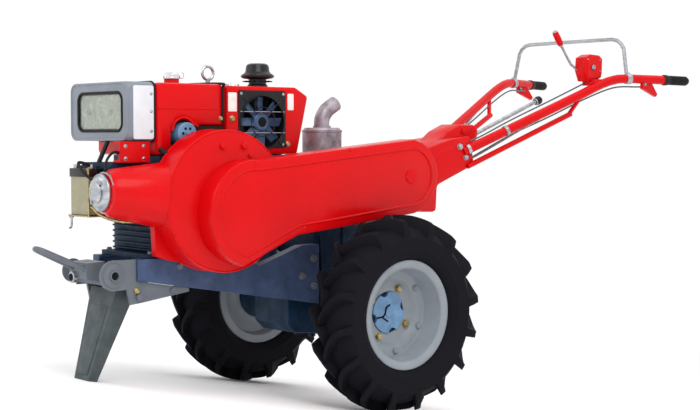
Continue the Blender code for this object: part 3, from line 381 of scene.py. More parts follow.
def surface(
    name, base, second, rough, mottle_mm, grain_mm, depth_mm, metallic=0.0, coat=0.0, stretch=None, mirror=0.5
):
    """A finish whose colour and gloss drift over mottle_mm and whose skin has a relief of grain_mm.

    base and second are the two linear colours it drifts between, rough its two roughness values,
    stretch the three shares by which the pattern is drawn out, as brushing does, and mirror how
    strongly the skin mirrors its surroundings.
    """
    packed = bpy.data.materials.get(name)
    if packed:
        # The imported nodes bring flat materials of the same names, which would keep the plain name.
        packed.name = "packed_" + name
    material = bpy.data.materials.new(name)
    material.use_nodes = True
    tree = material.node_tree
    shader = tree.nodes["Principled BSDF"]
    shader.inputs["Metallic"].default_value = metallic
    shader.inputs["Specular IOR Level"].default_value = mirror
    shader.inputs["Coat Weight"].default_value = coat
    shader.inputs["Coat Roughness"].default_value = 0.08
    where = add_node(tree, "ShaderNodeTexCoord").outputs["Object"]
    if stretch:
        where = add_node(tree, "ShaderNodeMapping", {"Vector": where}, Scale=stretch).outputs["Vector"]
    drift = add_node(
        tree, "ShaderNodeTexNoise", {"Vector": where}, Scale=1000.0 / mottle_mm, Detail=4.0, Roughness=0.6
    )
    share = add_node(
        tree, "ShaderNodeMapRange", {"Value": drift.outputs["Fac"]}, From_Min=0.35, From_Max=0.68
    )
    tint = add_node(tree, "ShaderNodeMix", data_type="RGBA")
    tint.inputs[6].default_value = (*base, 1.0)
    tint.inputs[7].default_value = (*second, 1.0)
    tree.links.new(share.outputs["Result"], tint.inputs["Factor"])
    tree.links.new(tint.outputs[2], shader.inputs["Base Color"])
    gloss = add_node(
        tree,
        "ShaderNodeMapRange",
        {"Value": drift.outputs["Fac"]},
        From_Min=0.3,
        From_Max=0.7,
        To_Min=rough[0],
        To_Max=rough[1],
    )
    tree.links.new(gloss.outputs["Result"], shader.inputs["Roughness"])
    grain = add_node(
        tree, "ShaderNodeTexNoise", {"Vector": where}, Scale=1000.0 / grain_mm, Detail=3.0, Roughness=0.55
    )
    relief = add_node(
        tree, "ShaderNodeBump", {"Height": grain.outputs["Fac"]}, Strength=1.0, Distance=depth_mm / 1000.0
    )
    tree.links.new(relief.outputs["Normal"], shader.inputs["Normal"])
    return material


def darker(rgb, share):
    return tuple(part * share for part in rgb)


NODE_FINISH = {
    # The rails take the darker, bluer grey with their shade and dark reflection painted in.
    "frame_rail_left": "rail_enamel",
    "frame_rail_right": "rail_enamel",
    "stand_leg": "leg_enamel",
    "clutch_lever": "bare_steel",
    "cooling_fan": "fan_enamel",
}


class TRACTOR_OT_finishes(bpy.types.Operator):
    """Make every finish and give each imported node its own"""

    bl_idname = "tractor.finishes"
    bl_label = "Finishes"

    def execute(self, context):
        tone = context.scene.tractor_colours
        red, grey, navy = tone.red[:], tone.grey[:], tone.navy[:]
        # Sprayed gloss enamel on pressed steel: wet highlights, and an orange peel of about 4 mm.
        surface("red_enamel", red, darker(red, 0.90), (0.24, 0.34), 160, 4, 0.030, coat=0.05, mirror=0.12)
        # Sprayed satin enamel on plate and channel: soft highlights, faint mill unevenness under it.
        surface("grey_enamel", grey, darker(grey, 0.78), (0.36, 0.50), 60, 5, 0.06, coat=0.04, mirror=0.25)
        # The channels get a darker, bluer grey that paints in their shade and dark reflection; the leg gets a
        # darker, greener grey.
        surface("rail_enamel", srgb("465879"), srgb("384763"), (0.36, 0.50), 60, 5, 0.06, mirror=0.15)
        surface("leg_enamel", srgb("4B5355"), srgb("3D4548"), (0.34, 0.50), 45, 5, 0.08, mirror=0.2)
        # Enamel on sand cast iron: the 3 mm grain of the sand shows through it.
        surface("navy_enamel", navy, darker(navy, 0.55), (0.38, 0.55), 45, 3, 0.22, mirror=0.14)
        # Enamel on cast hubs and the fan: smoother than the big castings, lighter blue.
        surface(
            "blue_enamel",
            tone.blue[:],
            darker(tone.blue, 0.72),
            (0.30, 0.45),
            30,
            3,
            0.08,
            coat=0.05,
            mirror=0.25,
        )
        surface("fan_enamel", srgb("41597A"), srgb("2E405A"), (0.30, 0.45), 25, 3, 0.08, mirror=0.25)
        # Silver grey enamel on rolled and pressed rims, with slow waves from the press.
        surface(
            "rim_enamel",
            tone.silver[:],
            darker(tone.silver, 0.86),
            (0.34, 0.46),
            70,
            6,
            0.05,
            coat=0.04,
            mirror=0.25,
        )
        surface(
            "lamp_enamel",
            tone.lamp[:],
            darker(tone.lamp, 0.88),
            (0.28, 0.40),
            80,
            4,
            0.03,
            coat=0.12,
            mirror=0.35,
        )
        # Vulcanised rubber: near black with a grey bloom and the fine texture of the mould.
        surface("tyre_rubber", tone.rubber[:], srgb("15151B"), (0.55, 0.78), 35, 1.6, 0.18, mirror=0.06)
        # Moulded black plastic with a spark eroded texture of about 1 mm.
        surface("black_plastic", srgb("0C0D10"), srgb("15161A"), (0.22, 0.36), 30, 1.2, 0.04, mirror=0.3)
        surface("grip_rubber", srgb("141415"), srgb("202022"), (0.45, 0.62), 15, 1.0, 0.10, mirror=0.25)
        surface("gasket_rubber", srgb("0F0F10"), srgb("1C1C1E"), (0.50, 0.70), 12, 1.5, 0.08, mirror=0.2)
        # Zinc plated and brushed steel: fine scratches along one way, drawn at 2 mm so that they show.
        surface(
            "bare_steel",
            srgb("B9BCC0"),
            srgb("8E9298"),
            (0.26, 0.40),
            14,
            2,
            0.02,
            1.0,
            stretch=(1.0, 0.2, 1.0),
        )
        surface("chrome_plate", srgb("E4E6E8"), srgb("C9CCD0"), (0.06, 0.14), 40, 8, 0.01, 1.0)
        # Grey cast iron, turned where the belts run.
        surface("pulley_iron", srgb("5A5C60"), srgb("3C3E42"), (0.40, 0.58), 20, 2, 0.10, 0.9)
        # Steel browned by heat, with blotches a few centimetres across.
        surface("heated_steel", tone.exhaust[:], srgb("74696C"), (0.40, 0.60), 40, 2.5, 0.08, 0.55)
        # Yellow passivated zinc on bolts and straps: a straw colour that drifts to green and rose.
        surface("yellow_zinc", srgb("B8A878"), srgb("8C7B52"), (0.24, 0.38), 9, 2, 0.02, 0.9)
        surface("olive_plastic", tone.olive[:], darker(tone.olive, 0.86), (0.36, 0.50), 25, 1.5, 0.06)
        # Printed vinyl with nothing on it.
        surface("label_vinyl", srgb("E9E4DF"), srgb("DCCFC9"), (0.25, 0.35), 18, 5, 0.02, coat=0.2)
        # Aluminised reflector behind the glass, with its pressed facets.
        surface("reflector", srgb("EDEFEA"), srgb("BCC0B9"), (0.18, 0.30), 16, 9, 0.60, 0.15)
        surface("brushed_panel", srgb("DFE0E5"), srgb("C9CBD2"), (0.22, 0.30), 160, 3, 0.01, 0.3)
        # PVC sheath over a steel control cable.
        surface("cable_sheath", srgb("5E6670"), srgb("49505A"), (0.36, 0.50), 12, 1.5, 0.03)
        # Near black that paints the shade in holes, gaps and grooves.
        surface("dark_recess", srgb("0C0D10"), srgb("15171B"), (0.6, 0.8), 20, 3, 0.1, mirror=0.1)
        glass = surface("lens_glass", srgb("EEF1EC"), srgb("E2E7E0"), (0.04, 0.08), 40, 7, 0.15)
        shader = glass.node_tree.nodes["Principled BSDF"]
        shader.inputs["Transmission Weight"].default_value = 1.0
        shader.inputs["IOR"].default_value = 1.5

        width = context.scene.tractor_sizes.edge
        for row in frame["record"]["subparts"]:
            obj = frame["nodes"][row["node"]]
            obj.data.materials.clear()
            finish = NODE_FINISH.get(row["node"], row["material_slot"])
            obj.data.materials.append(bpy.data.materials[finish])
            if obj.data.attributes.get("custom_normal"):
                obj.data.attributes.remove(obj.data.attributes["custom_normal"])
            obj.data.shade_smooth()
            weld = obj.modifiers.new("Weld", "WELD")
            weld.merge_threshold = 0.00002
            round_edges(obj, width)
        return {"FINISHED"}


# ---------------------------------------------------------------- wheels


TYRE_SECTION = (
    (0.1505, 0.0512), (0.1733, 0.0512), (0.1752, 0.0580), (0.1815, 0.0668), (0.1900, 0.0728),
    (0.1990, 0.0768), (0.2010, 0.0788), (0.2035, 0.0780), (0.2160, 0.0800), (0.2320, 0.0806),
    (0.2400, 0.0800), (0.2425, 0.0812), (0.2450, 0.0796), (0.2500, 0.0752), (0.2590, 0.0665),
    (0.2690, 0.0530), (0.2775, 0.0360), (0.2820, 0.0180), (0.2835, 0.0000),
)
LUG_TOP = (
    (0.0, 0.3115), (0.0205, 0.3115), (0.0465, 0.3060), (0.0650, 0.3005), (0.0735, 0.2940), (0.0800, 0.2680)
)
LUG_STEPS = 10


def add_lug(bm, centre, start, hand, sizes):
    """One tread bar. It leaves the middle of the tread steeply and reaches the shoulder square."""
    section = sorted((y, r) for r, y in TYRE_SECTION if r > 0.24)
    base_y = [y for y, _ in section]
    base_r = [r for _, r in section]
    top_y = [y for y, _ in LUG_TOP]
    top_r = [r for _, r in LUG_TOP]
    rows = []
    for k in range(LUG_STEPS + 1):
        t = k / LUG_STEPS
        y = -0.007 + 0.0868 * t
        phi = start + sizes.lug_sweep * (1.0 - (1.0 - t) ** 1.7)
        high = float(np.interp(abs(y), top_y, top_r))
        low = float(np.interp(abs(y), base_y, base_r)) - 0.004
        if y > 0.0795:
            low = 0.2440
        half = sizes.lug_width / 2
        row = []
        for radius, wide in ((low, half * 1.40), (high - 0.002, half * 1.04), (high, half * 0.92)):
            for way in (-1.0, 1.0):
                angle = phi + way * wide / radius
                spot = Vector((radius * math.cos(angle), y * hand, radius * math.sin(angle)))
                row.append(bm.verts.new(Vector(centre) + spot))
        rows.append([row[0], row[2], row[4], row[5], row[3], row[1]])
    for row, after in zip(rows, rows[1:]):
        for i in range(6):
            j = (i + 1) % 6
            bm.faces.new((row[i], row[j], after[j], after[i]))
    bm.faces.new(list(reversed(rows[0])))
    bm.faces.new(rows[-1])


def ring_spots(centre, radius, count, phase_deg, y):
    """Points on a circle round the axle line, at height y along it."""
    spots = []
    for k in range(count):
        angle = math.radians(phase_deg) + 2.0 * math.pi * k / count
        spots.append(Vector((centre[0] + radius * math.cos(angle), y, centre[2] + radius * math.sin(angle))))
    return spots


class TRACTOR_OT_wheels(bpy.types.Operator):
    """Build the lugged tyres, rims and hubs with their bolts"""

    bl_idname = "tractor.wheels"
    bl_label = "Wheels"

    def execute(self, context):
        sizes = context.scene.tractor_sizes
        for side, out in SIDES:
            low, high = machine_box(f"tyre_{side}")
            centre = (low + high) / 2
            centre.x = centre.z = 0.0
            body = f"wheel_{side}"
            self.tyre(side, out, centre, body, sizes)
            self.rim(side, out, centre, body, sizes)
            self.hub(side, out, centre, body, sizes)
        return {"FINISHED"}

    def tyre(self, side, out, centre, body, sizes):
        half = [(r, y) for r, y in TYRE_SECTION]
        bm = bmesh.new()
        add_turned(bm, half + [(r, -y) for r, y in reversed(half[:-1])], centre, steps=120)
        carcass = piece(f"tyre_carcass_{side}", bm, body, "tyre_rubber", smooth=40)
        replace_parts(carcass, f"tyre_{side}")
        bm = bmesh.new()
        pitch = 2.0 * math.pi / sizes.lugs
        for k in range(sizes.lugs):
            add_lug(bm, centre, pitch * k, 1.0, sizes)
            add_lug(bm, centre, pitch * (k + 0.5), -1.0, sizes)
        piece(f"tyre_lugs_{side}", bm, body, "tyre_rubber", bevel=0.0014)

    def rim(self, side, out, centre, body, sizes):
        shape = [(0.1700, 0.0570), (0.1722, 0.0556), (0.1724, 0.0530), (0.1700, 0.0518), (0.1510, 0.0512)]
        shape += [(0.1490, 0.0490), (0.1478, 0.0300), (0.1410, 0.0240), (0.1410, -0.0180), (0.1478, -0.0240)]
        shape += [(0.1490, -0.0490), (0.1510, -0.0512), (0.1700, -0.0518), (0.1722, -0.0540)]
        shape += [(0.1700, -0.0570), (0.1640, -0.0560), (0.1450, -0.0540), (0.1370, -0.0300)]
        shape += [(0.1370, -0.0255), (0.1250, -0.0262), (0.1120, -0.0290), (0.1020, -0.0400)]
        shape += [(0.0960, -0.0452), (0.0665, -0.0452), (0.0665, -0.0402), (0.0930, -0.0402)]
        shape += [(0.0985, -0.0360), (0.1060, -0.0260), (0.1120, -0.0226), (0.1250, -0.0196)]
        shape += [(0.1330, -0.0186), (0.1370, -0.0150), (0.1385, 0.0220), (0.1440, 0.0300)]
        shape += [(0.1450, 0.0480), (0.1480, 0.0530), (0.1640, 0.0560)]
        bm = bmesh.new()
        add_turned(bm, [(r, y * out) for r, y in shape], centre, steps=120)
        rim = piece(f"wheel_rim_{side}", bm, body, "rim_enamel", smooth=50)
        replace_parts(rim, f"rim_{side}")
        face = centre.y - 0.0202 * out
        bm = bmesh.new()
        for spot in ring_spots(centre, 0.1225, sizes.rim_bolts, 24.0, face):
            add_bolt(bm, spot, (0, out, 0), 0.0095)
        piece(f"rim_bolts_{side}", bm, body, "rim_enamel")
        bm = bmesh.new()
        for spot in ring_spots(centre, 0.0835, sizes.hub_bolts, 30.0, centre.y - 0.0402 * out):
            add_bolt(bm, spot, (0, out, 0), 0.0120, proud=0.010)
        piece(f"hub_bolts_{side}", bm, body, "yellow_zinc")
        stem = Vector(
            (centre.x + 0.112 * math.cos(0.91), centre.y - 0.026 * out, centre.z + 0.112 * math.sin(0.91))
        )
        lean = Vector((0.2, out, 0.35)).normalized()
        bm = bmesh.new()
        add_tube(bm, [stem, stem + lean * 0.022, stem + lean * 0.030], [0.0042, 0.0042, 0.0034], 12)
        add_turned(
            bm, [(0, 0.022), (0.0052, 0.022), (0.0052, 0.034), (0.0034, 0.037), (0, 0.037)], stem, lean, 12
        )
        piece(f"tyre_valve_{side}", bm, body, "gasket_rubber")

    def hub(self, side, out, centre, body, sizes):
        outline = []
        for k in range(96):
            angle = 2.0 * math.pi * k / 96
            off = (math.degrees(angle) - 75.0 + 45.0) % 90.0 - 45.0
            deep = 0.0135 * max(0.0, math.cos(math.radians(min(90.0, abs(off) * 6.4)))) ** 0.5
            radius = 0.0655 - deep
            outline.append((centre.x + radius * math.cos(angle), centre.z + radius * math.sin(angle)))
        bm = bmesh.new()
        face = centre.y - 0.0345 * out
        add_prism(bm, outline, face - 0.0110 * out, face)
        hub = piece(f"wheel_hub_{side}", bm, body, "blue_enamel", bevel=0.0015)
        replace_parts(hub, f"hub_{side}")
        behind = [(0.0, -0.0454), (0.0815, -0.0454), (0.0815, -0.0570), (0.0400, -0.0640), (0.0340, -0.0700)]
        behind += [(0.0340, -0.0900), (0.0198, -0.0905), (0.0198, -0.1300), (0.0, -0.1300)]
        bm = bmesh.new()
        add_turned(bm, [(r, y * out) for r, y in behind], centre, steps=48, closed=False)
        piece(f"hub_sleeve_{side}", bm, body, "navy_enamel", smooth=40)
        bm = bmesh.new()
        add_drum(bm, 0.0150, (centre.x, face - 0.001 * out, centre.z), (0, out, 0), 0.0040, 32, 0.0015)
        piece(f"hub_boss_{side}", bm, body, "blue_enamel")
        # Near black raised lines in a Y on the hub face: painted shade of the Y shaped grooves there.
        bm = bmesh.new()
        top = face + 0.0012 * out
        wire = [(0.050, -0.014), (0.028, -0.012), (0.016, -0.002), (0.012, 0.016), (-0.004, 0.024)]
        add_tube(bm, smooth_path([(centre.x + x, top, centre.z + z) for x, z in wire]), 0.0026, 8)
        tail = [(0.028, -0.012), (0.018, -0.020), (0.004, -0.028)]
        add_tube(bm, smooth_path([(centre.x + x, top, centre.z + z) for x, z in tail]), 0.0024, 8)
        piece(f"hub_lock_wire_{side}", bm, body, "dark_recess")


# ---------------------------------------------------------------- frame and gear case


class TRACTOR_OT_running_gear(bpy.types.Operator):
    """Add the fastenings and castings of the gear case, rails, bracket and stand"""

    bl_idname = "tractor.running_gear"
    bl_label = "Running gear"

    def execute(self, context):
        size = context.scene.tractor_sizes.bolt
        zinc = bmesh.new()
        grey = bmesh.new()
        for side, out in SIDES:
            low, high = machine_box(f"frame_rail_{side}")
            face = high.y if out > 0 else low.y
            for x, z in ((0.128, 0.075), (0.128, 0.165), (0.175, 0.110)):
                add_bolt(grey, (x, face, z), (0, out, 0), 1.2 * size)
            for x in (0.360, 0.640):
                add_bolt(grey, (x, face, 0.170), (0, out, 0), size)
        low, high = machine_box("front_bracket")
        for out in (1.0, -1.0):
            face = 0.120 * out
            add_bolt(zinc, (0.785, face, 0.104), (0, out, 0), 0.9 * size)
            add_bolt(grey, (0.660, face, 0.098), (0, out, 0), 0.9 * size)
            add_drum(grey, 0.036, (0.860, face - 0.001 * out, 0.153), (0, out, 0), 0.0035, 40, 0.002)
            ring = [(0.0125, 0.0), (0.0165, 0.0), (0.0165, 0.0085), (0.0125, 0.0085)]
            add_turned(grey, ring, (0.860, face, 0.153), (0, out, 0), 28)
            add_drum(grey, 0.0105, (0.778, 0.128 * out, 0.086), (0, out, 0), 0.004, 20, 0.001)
            for x in (0.530, 0.735) if out > 0 else (0.735,):
                add_bolt(grey, (x, 0.1165 * out, 0.2110), (0, 0, 1), 0.8 * size)
        piece("frame_bolts", grey, "chassis", "grey_enamel")
        piece("bracket_bolts", zinc, "chassis", "yellow_zinc")
        # Near black discs down inside the rings on the cheeks: painted shade of their hollows.
        bm = bmesh.new()
        for out in (1.0, -1.0):
            add_drum(bm, 0.0108, (0.860, 0.1200 * out, 0.153), (0, out, 0), 0.0060, 24, 0.002)
        piece("cheek_pins", bm, "chassis", "dark_recess")
        self.trailer_socket()
        self.gear_case(size)
        self.belly()
        return {"FINISHED"}

    def trailer_socket(self):
        """The round lamp socket and plate on the front bracket."""
        bm = bmesh.new()
        spot = Vector((0.9105, -0.020, 0.143))
        add_turned(
            bm, [(0.0, 0.0), (0.017, 0.0), (0.017, 0.010), (0.014, 0.012), (0.0, 0.012)], spot, (1, 0, 0), 28
        )
        piece("front_socket", bm, "chassis", "bare_steel")
        # Near black disc on the face of the socket: painted shade of its openings.
        bm = bmesh.new()
        add_drum(bm, 0.0115, spot + Vector((0.0118, 0, 0)), (1, 0, 0), 0.0016, 24, 0.0006)
        piece("front_socket_face", bm, "chassis", "dark_recess")

    def gear_case(self, size):
        low, high = machine_box("gearbox_case")
        half = 0.092
        bm = bmesh.new()
        bolts = bmesh.new()
        for out in (1.0, -1.0):
            rim = arc((0.0, 0.0), 0.099, 200, 332, 14)
            for spot, after in zip(rim, rim[1:]):
                middle = ((spot[0] + after[0]) / 2, (spot[1] + after[1]) / 2)
                if rim.index(spot) % 4 == 1:
                    add_bolt(bolts, (middle[0] * 0.86, half * out, middle[1] * 0.86), (0, out, 0), 0.8 * size)
            cover = arc((-0.075, 0.330), 0.062, 0, 360, 32)[:-1]
            if out < 0:
                add_prism(bm, cover, -half - 0.008, -half + 0.002)
                for k in range(6):
                    angle = math.radians(60 * k + 15)
                    spot = (-0.075 + 0.052 * math.cos(angle), -half - 0.008, 0.330 + 0.052 * math.sin(angle))
                    add_bolt(bolts, spot, (0, -1, 0), 0.7 * size)
            ribs = (
                (-0.120, 0.070, -0.105, 0.250), (0.060, 0.060, 0.070, 0.235), (-0.030, 0.110, -0.022, 0.380)
            )
            for x0, z0, x1, z1 in ribs:
                edge = [(x0 - 0.004, z0), (x0 + 0.004, z0), (x1 + 0.004, z1), (x1 - 0.004, z1)]
                add_prism(bm, edge, (half - 0.001) * out, (half + 0.006) * out)
            for k in range(6):
                angle = math.radians(60 * k + 30)
                spot = (0.059 * math.cos(angle), (half + 0.0148) * out, 0.059 * math.sin(angle))
                add_bolt(bolts, spot, (0, out, 0), 0.75 * size, proud=0.005)
        piece("gear_case_ribs", bm, "chassis", "navy_enamel", bevel=0.002)
        bm = bmesh.new()
        for y in (-0.040, 0.040):
            for z in (-0.030, 0.055, 0.145):
                add_bolt(bm, (low.x, y, z), (-1, 0, 0), size)
        piece("hitch_studs", bm, "chassis", "bare_steel")
        bm = bmesh.new()
        add_turned(
            bm,
            [
                (0.0, -0.001),
                (0.030, -0.001),
                (0.030, 0.004),
                (0.027, 0.006),
                (0.020, 0.006),
                (0.018, 0.002),
                (0.0, 0.002),
            ],
            (low.x, 0.0, 0.100),
            (-1, 0, 0),
            36,
            closed=False,
        )
        piece("power_takeoff_cover", bm, "chassis", "navy_enamel")
        add_bolt(bolts, (0.030, 0.0, -0.0995), (0, 0, -1), 1.4 * size)
        add_bolt(bolts, (0.120, 0.030, -0.0820), (-0.1, 0, -1), 1.2 * size)
        piece("gear_case_bolts", bolts, "chassis", "navy_enamel")
        bm = bmesh.new()
        add_turned(
            bm,
            [
                (0.0, -0.002),
                (0.019, -0.002),
                (0.019, 0.010),
                (0.015, 0.014),
                (0.006, 0.014),
                (0.006, 0.022),
                (0.0, 0.022),
            ],
            (-0.070, 0.0, 0.4515),
            (0, 0, 1),
            28,
            closed=False,
        )
        piece("gear_oil_cap", bm, "chassis", "black_plastic")

    def belly(self):
        """Axle flange ribs."""
        bm = bmesh.new()
        for side, out in SIDES:
            low, high = machine_box(f"axle_tube_{side}")
            start = low.y if out > 0 else high.y
            for k in range(4):
                angle = math.radians(90 * k + 45)
                at = Vector((math.cos(angle), 0.0, math.sin(angle)))
                flat = Vector((-math.sin(angle), 0.0, math.cos(angle))) * 0.003
                near, far = start + 0.014 * out, start + 0.070 * out
                spots = [(at * 0.036, near), (at * 0.066, near), (at * 0.042, far), (at * 0.036, far)]
                rings = []
                for shift in (-flat, flat):
                    rings.append([bm.verts.new(Vector((p.x, y, p.z)) + shift) for p, y in spots])
                bm.faces.new(rings[0])
                bm.faces.new(list(reversed(rings[1])))
                for i in range(4):
                    j = (i + 1) % 4
                    bm.faces.new((rings[0][i], rings[0][j], rings[1][j], rings[1][i]))
        piece("axle_ribs", bm, "chassis", "navy_enamel", bevel=0.001)


class TRACTOR_OT_stand(bpy.types.Operator):
    """Add the rivets and the pressed panel with its hems of the folding stand"""

    bl_idname = "tractor.stand"
    bl_label = "Stand"

    def execute(self, context):
        bm = bmesh.new()
        top = Vector((0.8245, 0.0, 0.104))
        foot = Vector((0.9030, 0.0, -0.1590))
        for k, (share, radius) in enumerate(((0.16, 0.0085), (0.30, 0.0085))):
            spot = top.lerp(foot, share)
            add_drum(bm, radius, spot - Vector((0.0010, 0, 0)), (0.96, 0, 0.28), 0.0022, 24, 0.001)
        piece("stand_rivets", bm, "stand", "leg_enamel")
        # Pressed panel on the front of the leg, and its folded hems.
        down = (foot - top).normalized()
        normal = Vector((-down.z, 0.0, down.x))
        if normal.x < 0:
            normal = -normal
        bm = bmesh.new()
        reach = (foot - top).length
        corners = []
        for along, half in ((0.050, 0.050), (reach - 0.016, 0.028)):
            for way in (-1.0, 1.0):
                corners.append((top + down * along, way * half))
        order = (corners[0], corners[1], corners[3], corners[2])
        rings = []
        for lift, shrink in ((-0.001, 0.0), (0.0014, 0.0), (0.0026, 0.004)):
            ring = []
            for spot, y in order:
                shift = shrink if y > 0 else -shrink
                ring.append(bm.verts.new(spot + normal * (lift + PANEL_SET) + Vector((0.0, y - shift, 0.0))))
            rings.append(ring)
        bm.faces.new(rings[0])
        bm.faces.new(list(reversed(rings[-1])))
        for ring, after in zip(rings, rings[1:]):
            for i in range(4):
                j = (i + 1) % 4
                bm.faces.new((ring[i], ring[j], after[j], after[i]))
        piece("stand_pressing", bm, "stand", "leg_enamel", bevel=0.002)
        return {"FINISHED"}


# ---------------------------------------------------------------- engine


class TRACTOR_OT_engine(bpy.types.Operator):
    """Add covers, ribs, pipes and fastenings of the engine"""

    bl_idname = "tractor.engine"
    bl_label = "Engine"

    def execute(self, context):
        size = context.scene.tractor_sizes.bolt
        right = -0.150
        cast = bmesh.new()
        bolts = bmesh.new()
        # Crankcase side cover, gear cover and hand hole on the right side.
        add_prism(cast, rounded((0.300, 0.250), (0.520, 0.470), 0.030), right - 0.012, right + 0.002)
        add_prism(cast, arc((0.410, 0.355), 0.070, 0, 360, 40)[:-1], right - 0.022, right - 0.010)
        add_prism(cast, rounded((0.545, 0.235), (0.680, 0.400), 0.022), right - 0.009, right + 0.002)
        for x in (0.316, 0.410, 0.504):
            for z in (0.266, 0.454):
                add_bolt(bolts, (x, right - 0.012, z), (0, -1, 0), 0.8 * size)
        for x in (0.560, 0.665):
            for z in (0.250, 0.385):
                add_bolt(bolts, (x, right - 0.009, z), (0, -1, 0), 0.8 * size)
        for k in range(6):
            angle = math.radians(60 * k)
            spot = (0.410 + 0.058 * math.cos(angle), right - 0.022, 0.355 + 0.058 * math.sin(angle))
            add_bolt(bolts, spot, (0, -1, 0), 0.6 * size)
        # Cylinder head: fins across its front and sides, between its floor and the lamp bracket.
        front = 0.700
        for k in range(7):
            z = 0.214 + 0.017 * k
            add_block(cast, (front - 0.002, -0.130, z), (front + 0.016, 0.100, z + 0.006))
        for k in range(5):
            y = -0.088 + 0.040 * k
            add_block(cast, (0.8355, y - 0.003, 0.345), (0.8420, y + 0.003, 0.470))
        for z in (0.350, 0.465):
            for y in (-0.090, 0.064):
                add_bolt(bolts, (0.836, y, z), (1, 0, 0), 0.9 * size)
        # Rear face: cover with ribs above the sloping floor.
        add_prism(cast, rounded((-0.110, 0.320), (0.070, 0.470), 0.018), 0.229, 0.237, "X")
        for y in (-0.098, 0.058):
            for z in (0.333, 0.457):
                add_bolt(bolts, (0.229, y, z), (-1, 0, 0), 0.8 * size)
        for x in (0.450, 0.560, 0.660):
            add_block(cast, (x - 0.004, right + 0.004, 0.192), (x + 0.004, 0.108, 0.1985))
        piece("engine_castings", cast, "chassis", "navy_enamel", bevel=0.002)
        piece("engine_bolts", bolts, "chassis", "navy_enamel")
        self.injection()
        self.filter()
        return {"FINISHED"}

    def injection(self):
        """Injector, fuel pump and the steel pipe between them, on the right of the head."""
        bm = bmesh.new()
        add_turned(
            bm,
            [(0.0, 0.0), (0.020, 0.0), (0.020, 0.030), (0.012, 0.036), (0.012, 0.060), (0.0, 0.060)],
            (0.600, -0.159, 0.330),
            (0, -1, 0),
            24,
            closed=False,
        )
        add_turned(
            bm,
            [(0.0, 0.0), (0.012, 0.0), (0.012, 0.020), (0.008, 0.024), (0.008, 0.045), (0.0, 0.045)],
            (0.770, -0.100, 0.420),
            (0, -1, 0),
            20,
            closed=False,
        )
        pipe = [
            (0.600, -0.215, 0.330), (0.600, -0.226, 0.352), (0.640, -0.220, 0.410), (0.740, -0.185, 0.436)
        ]
        pipe += [(0.770, -0.150, 0.428), (0.770, -0.142, 0.420)]
        add_tube(bm, smooth_path(pipe), 0.0032, 10)
        piece("fuel_pump_and_pipe", bm, "chassis", "bare_steel")

    def filter(self):
        """Dark strut and hose under the headlamp."""
        bm = bmesh.new()
        add_tube(bm, [(0.7940, -0.020, 0.5450), (0.8220, -0.026, 0.4790)], 0.0070, 10)
        piece("lamp_strut", bm, "chassis", "black_plastic")
        bm = bmesh.new()
        hose = [(0.800, 0.085, 0.500), (0.838, 0.092, 0.512), (0.868, 0.100, 0.490), (0.886, 0.118, 0.458)]
        add_tube(bm, smooth_path(hose), 0.0040, 10)
        hose = [(0.700, 0.118, 0.520), (0.690, 0.135, 0.508), (0.660, 0.150, 0.512), (0.640, 0.142, 0.540)]
        add_tube(bm, smooth_path(hose), 0.0075, 12)
        piece("engine_hoses", bm, "chassis", "gasket_rubber")


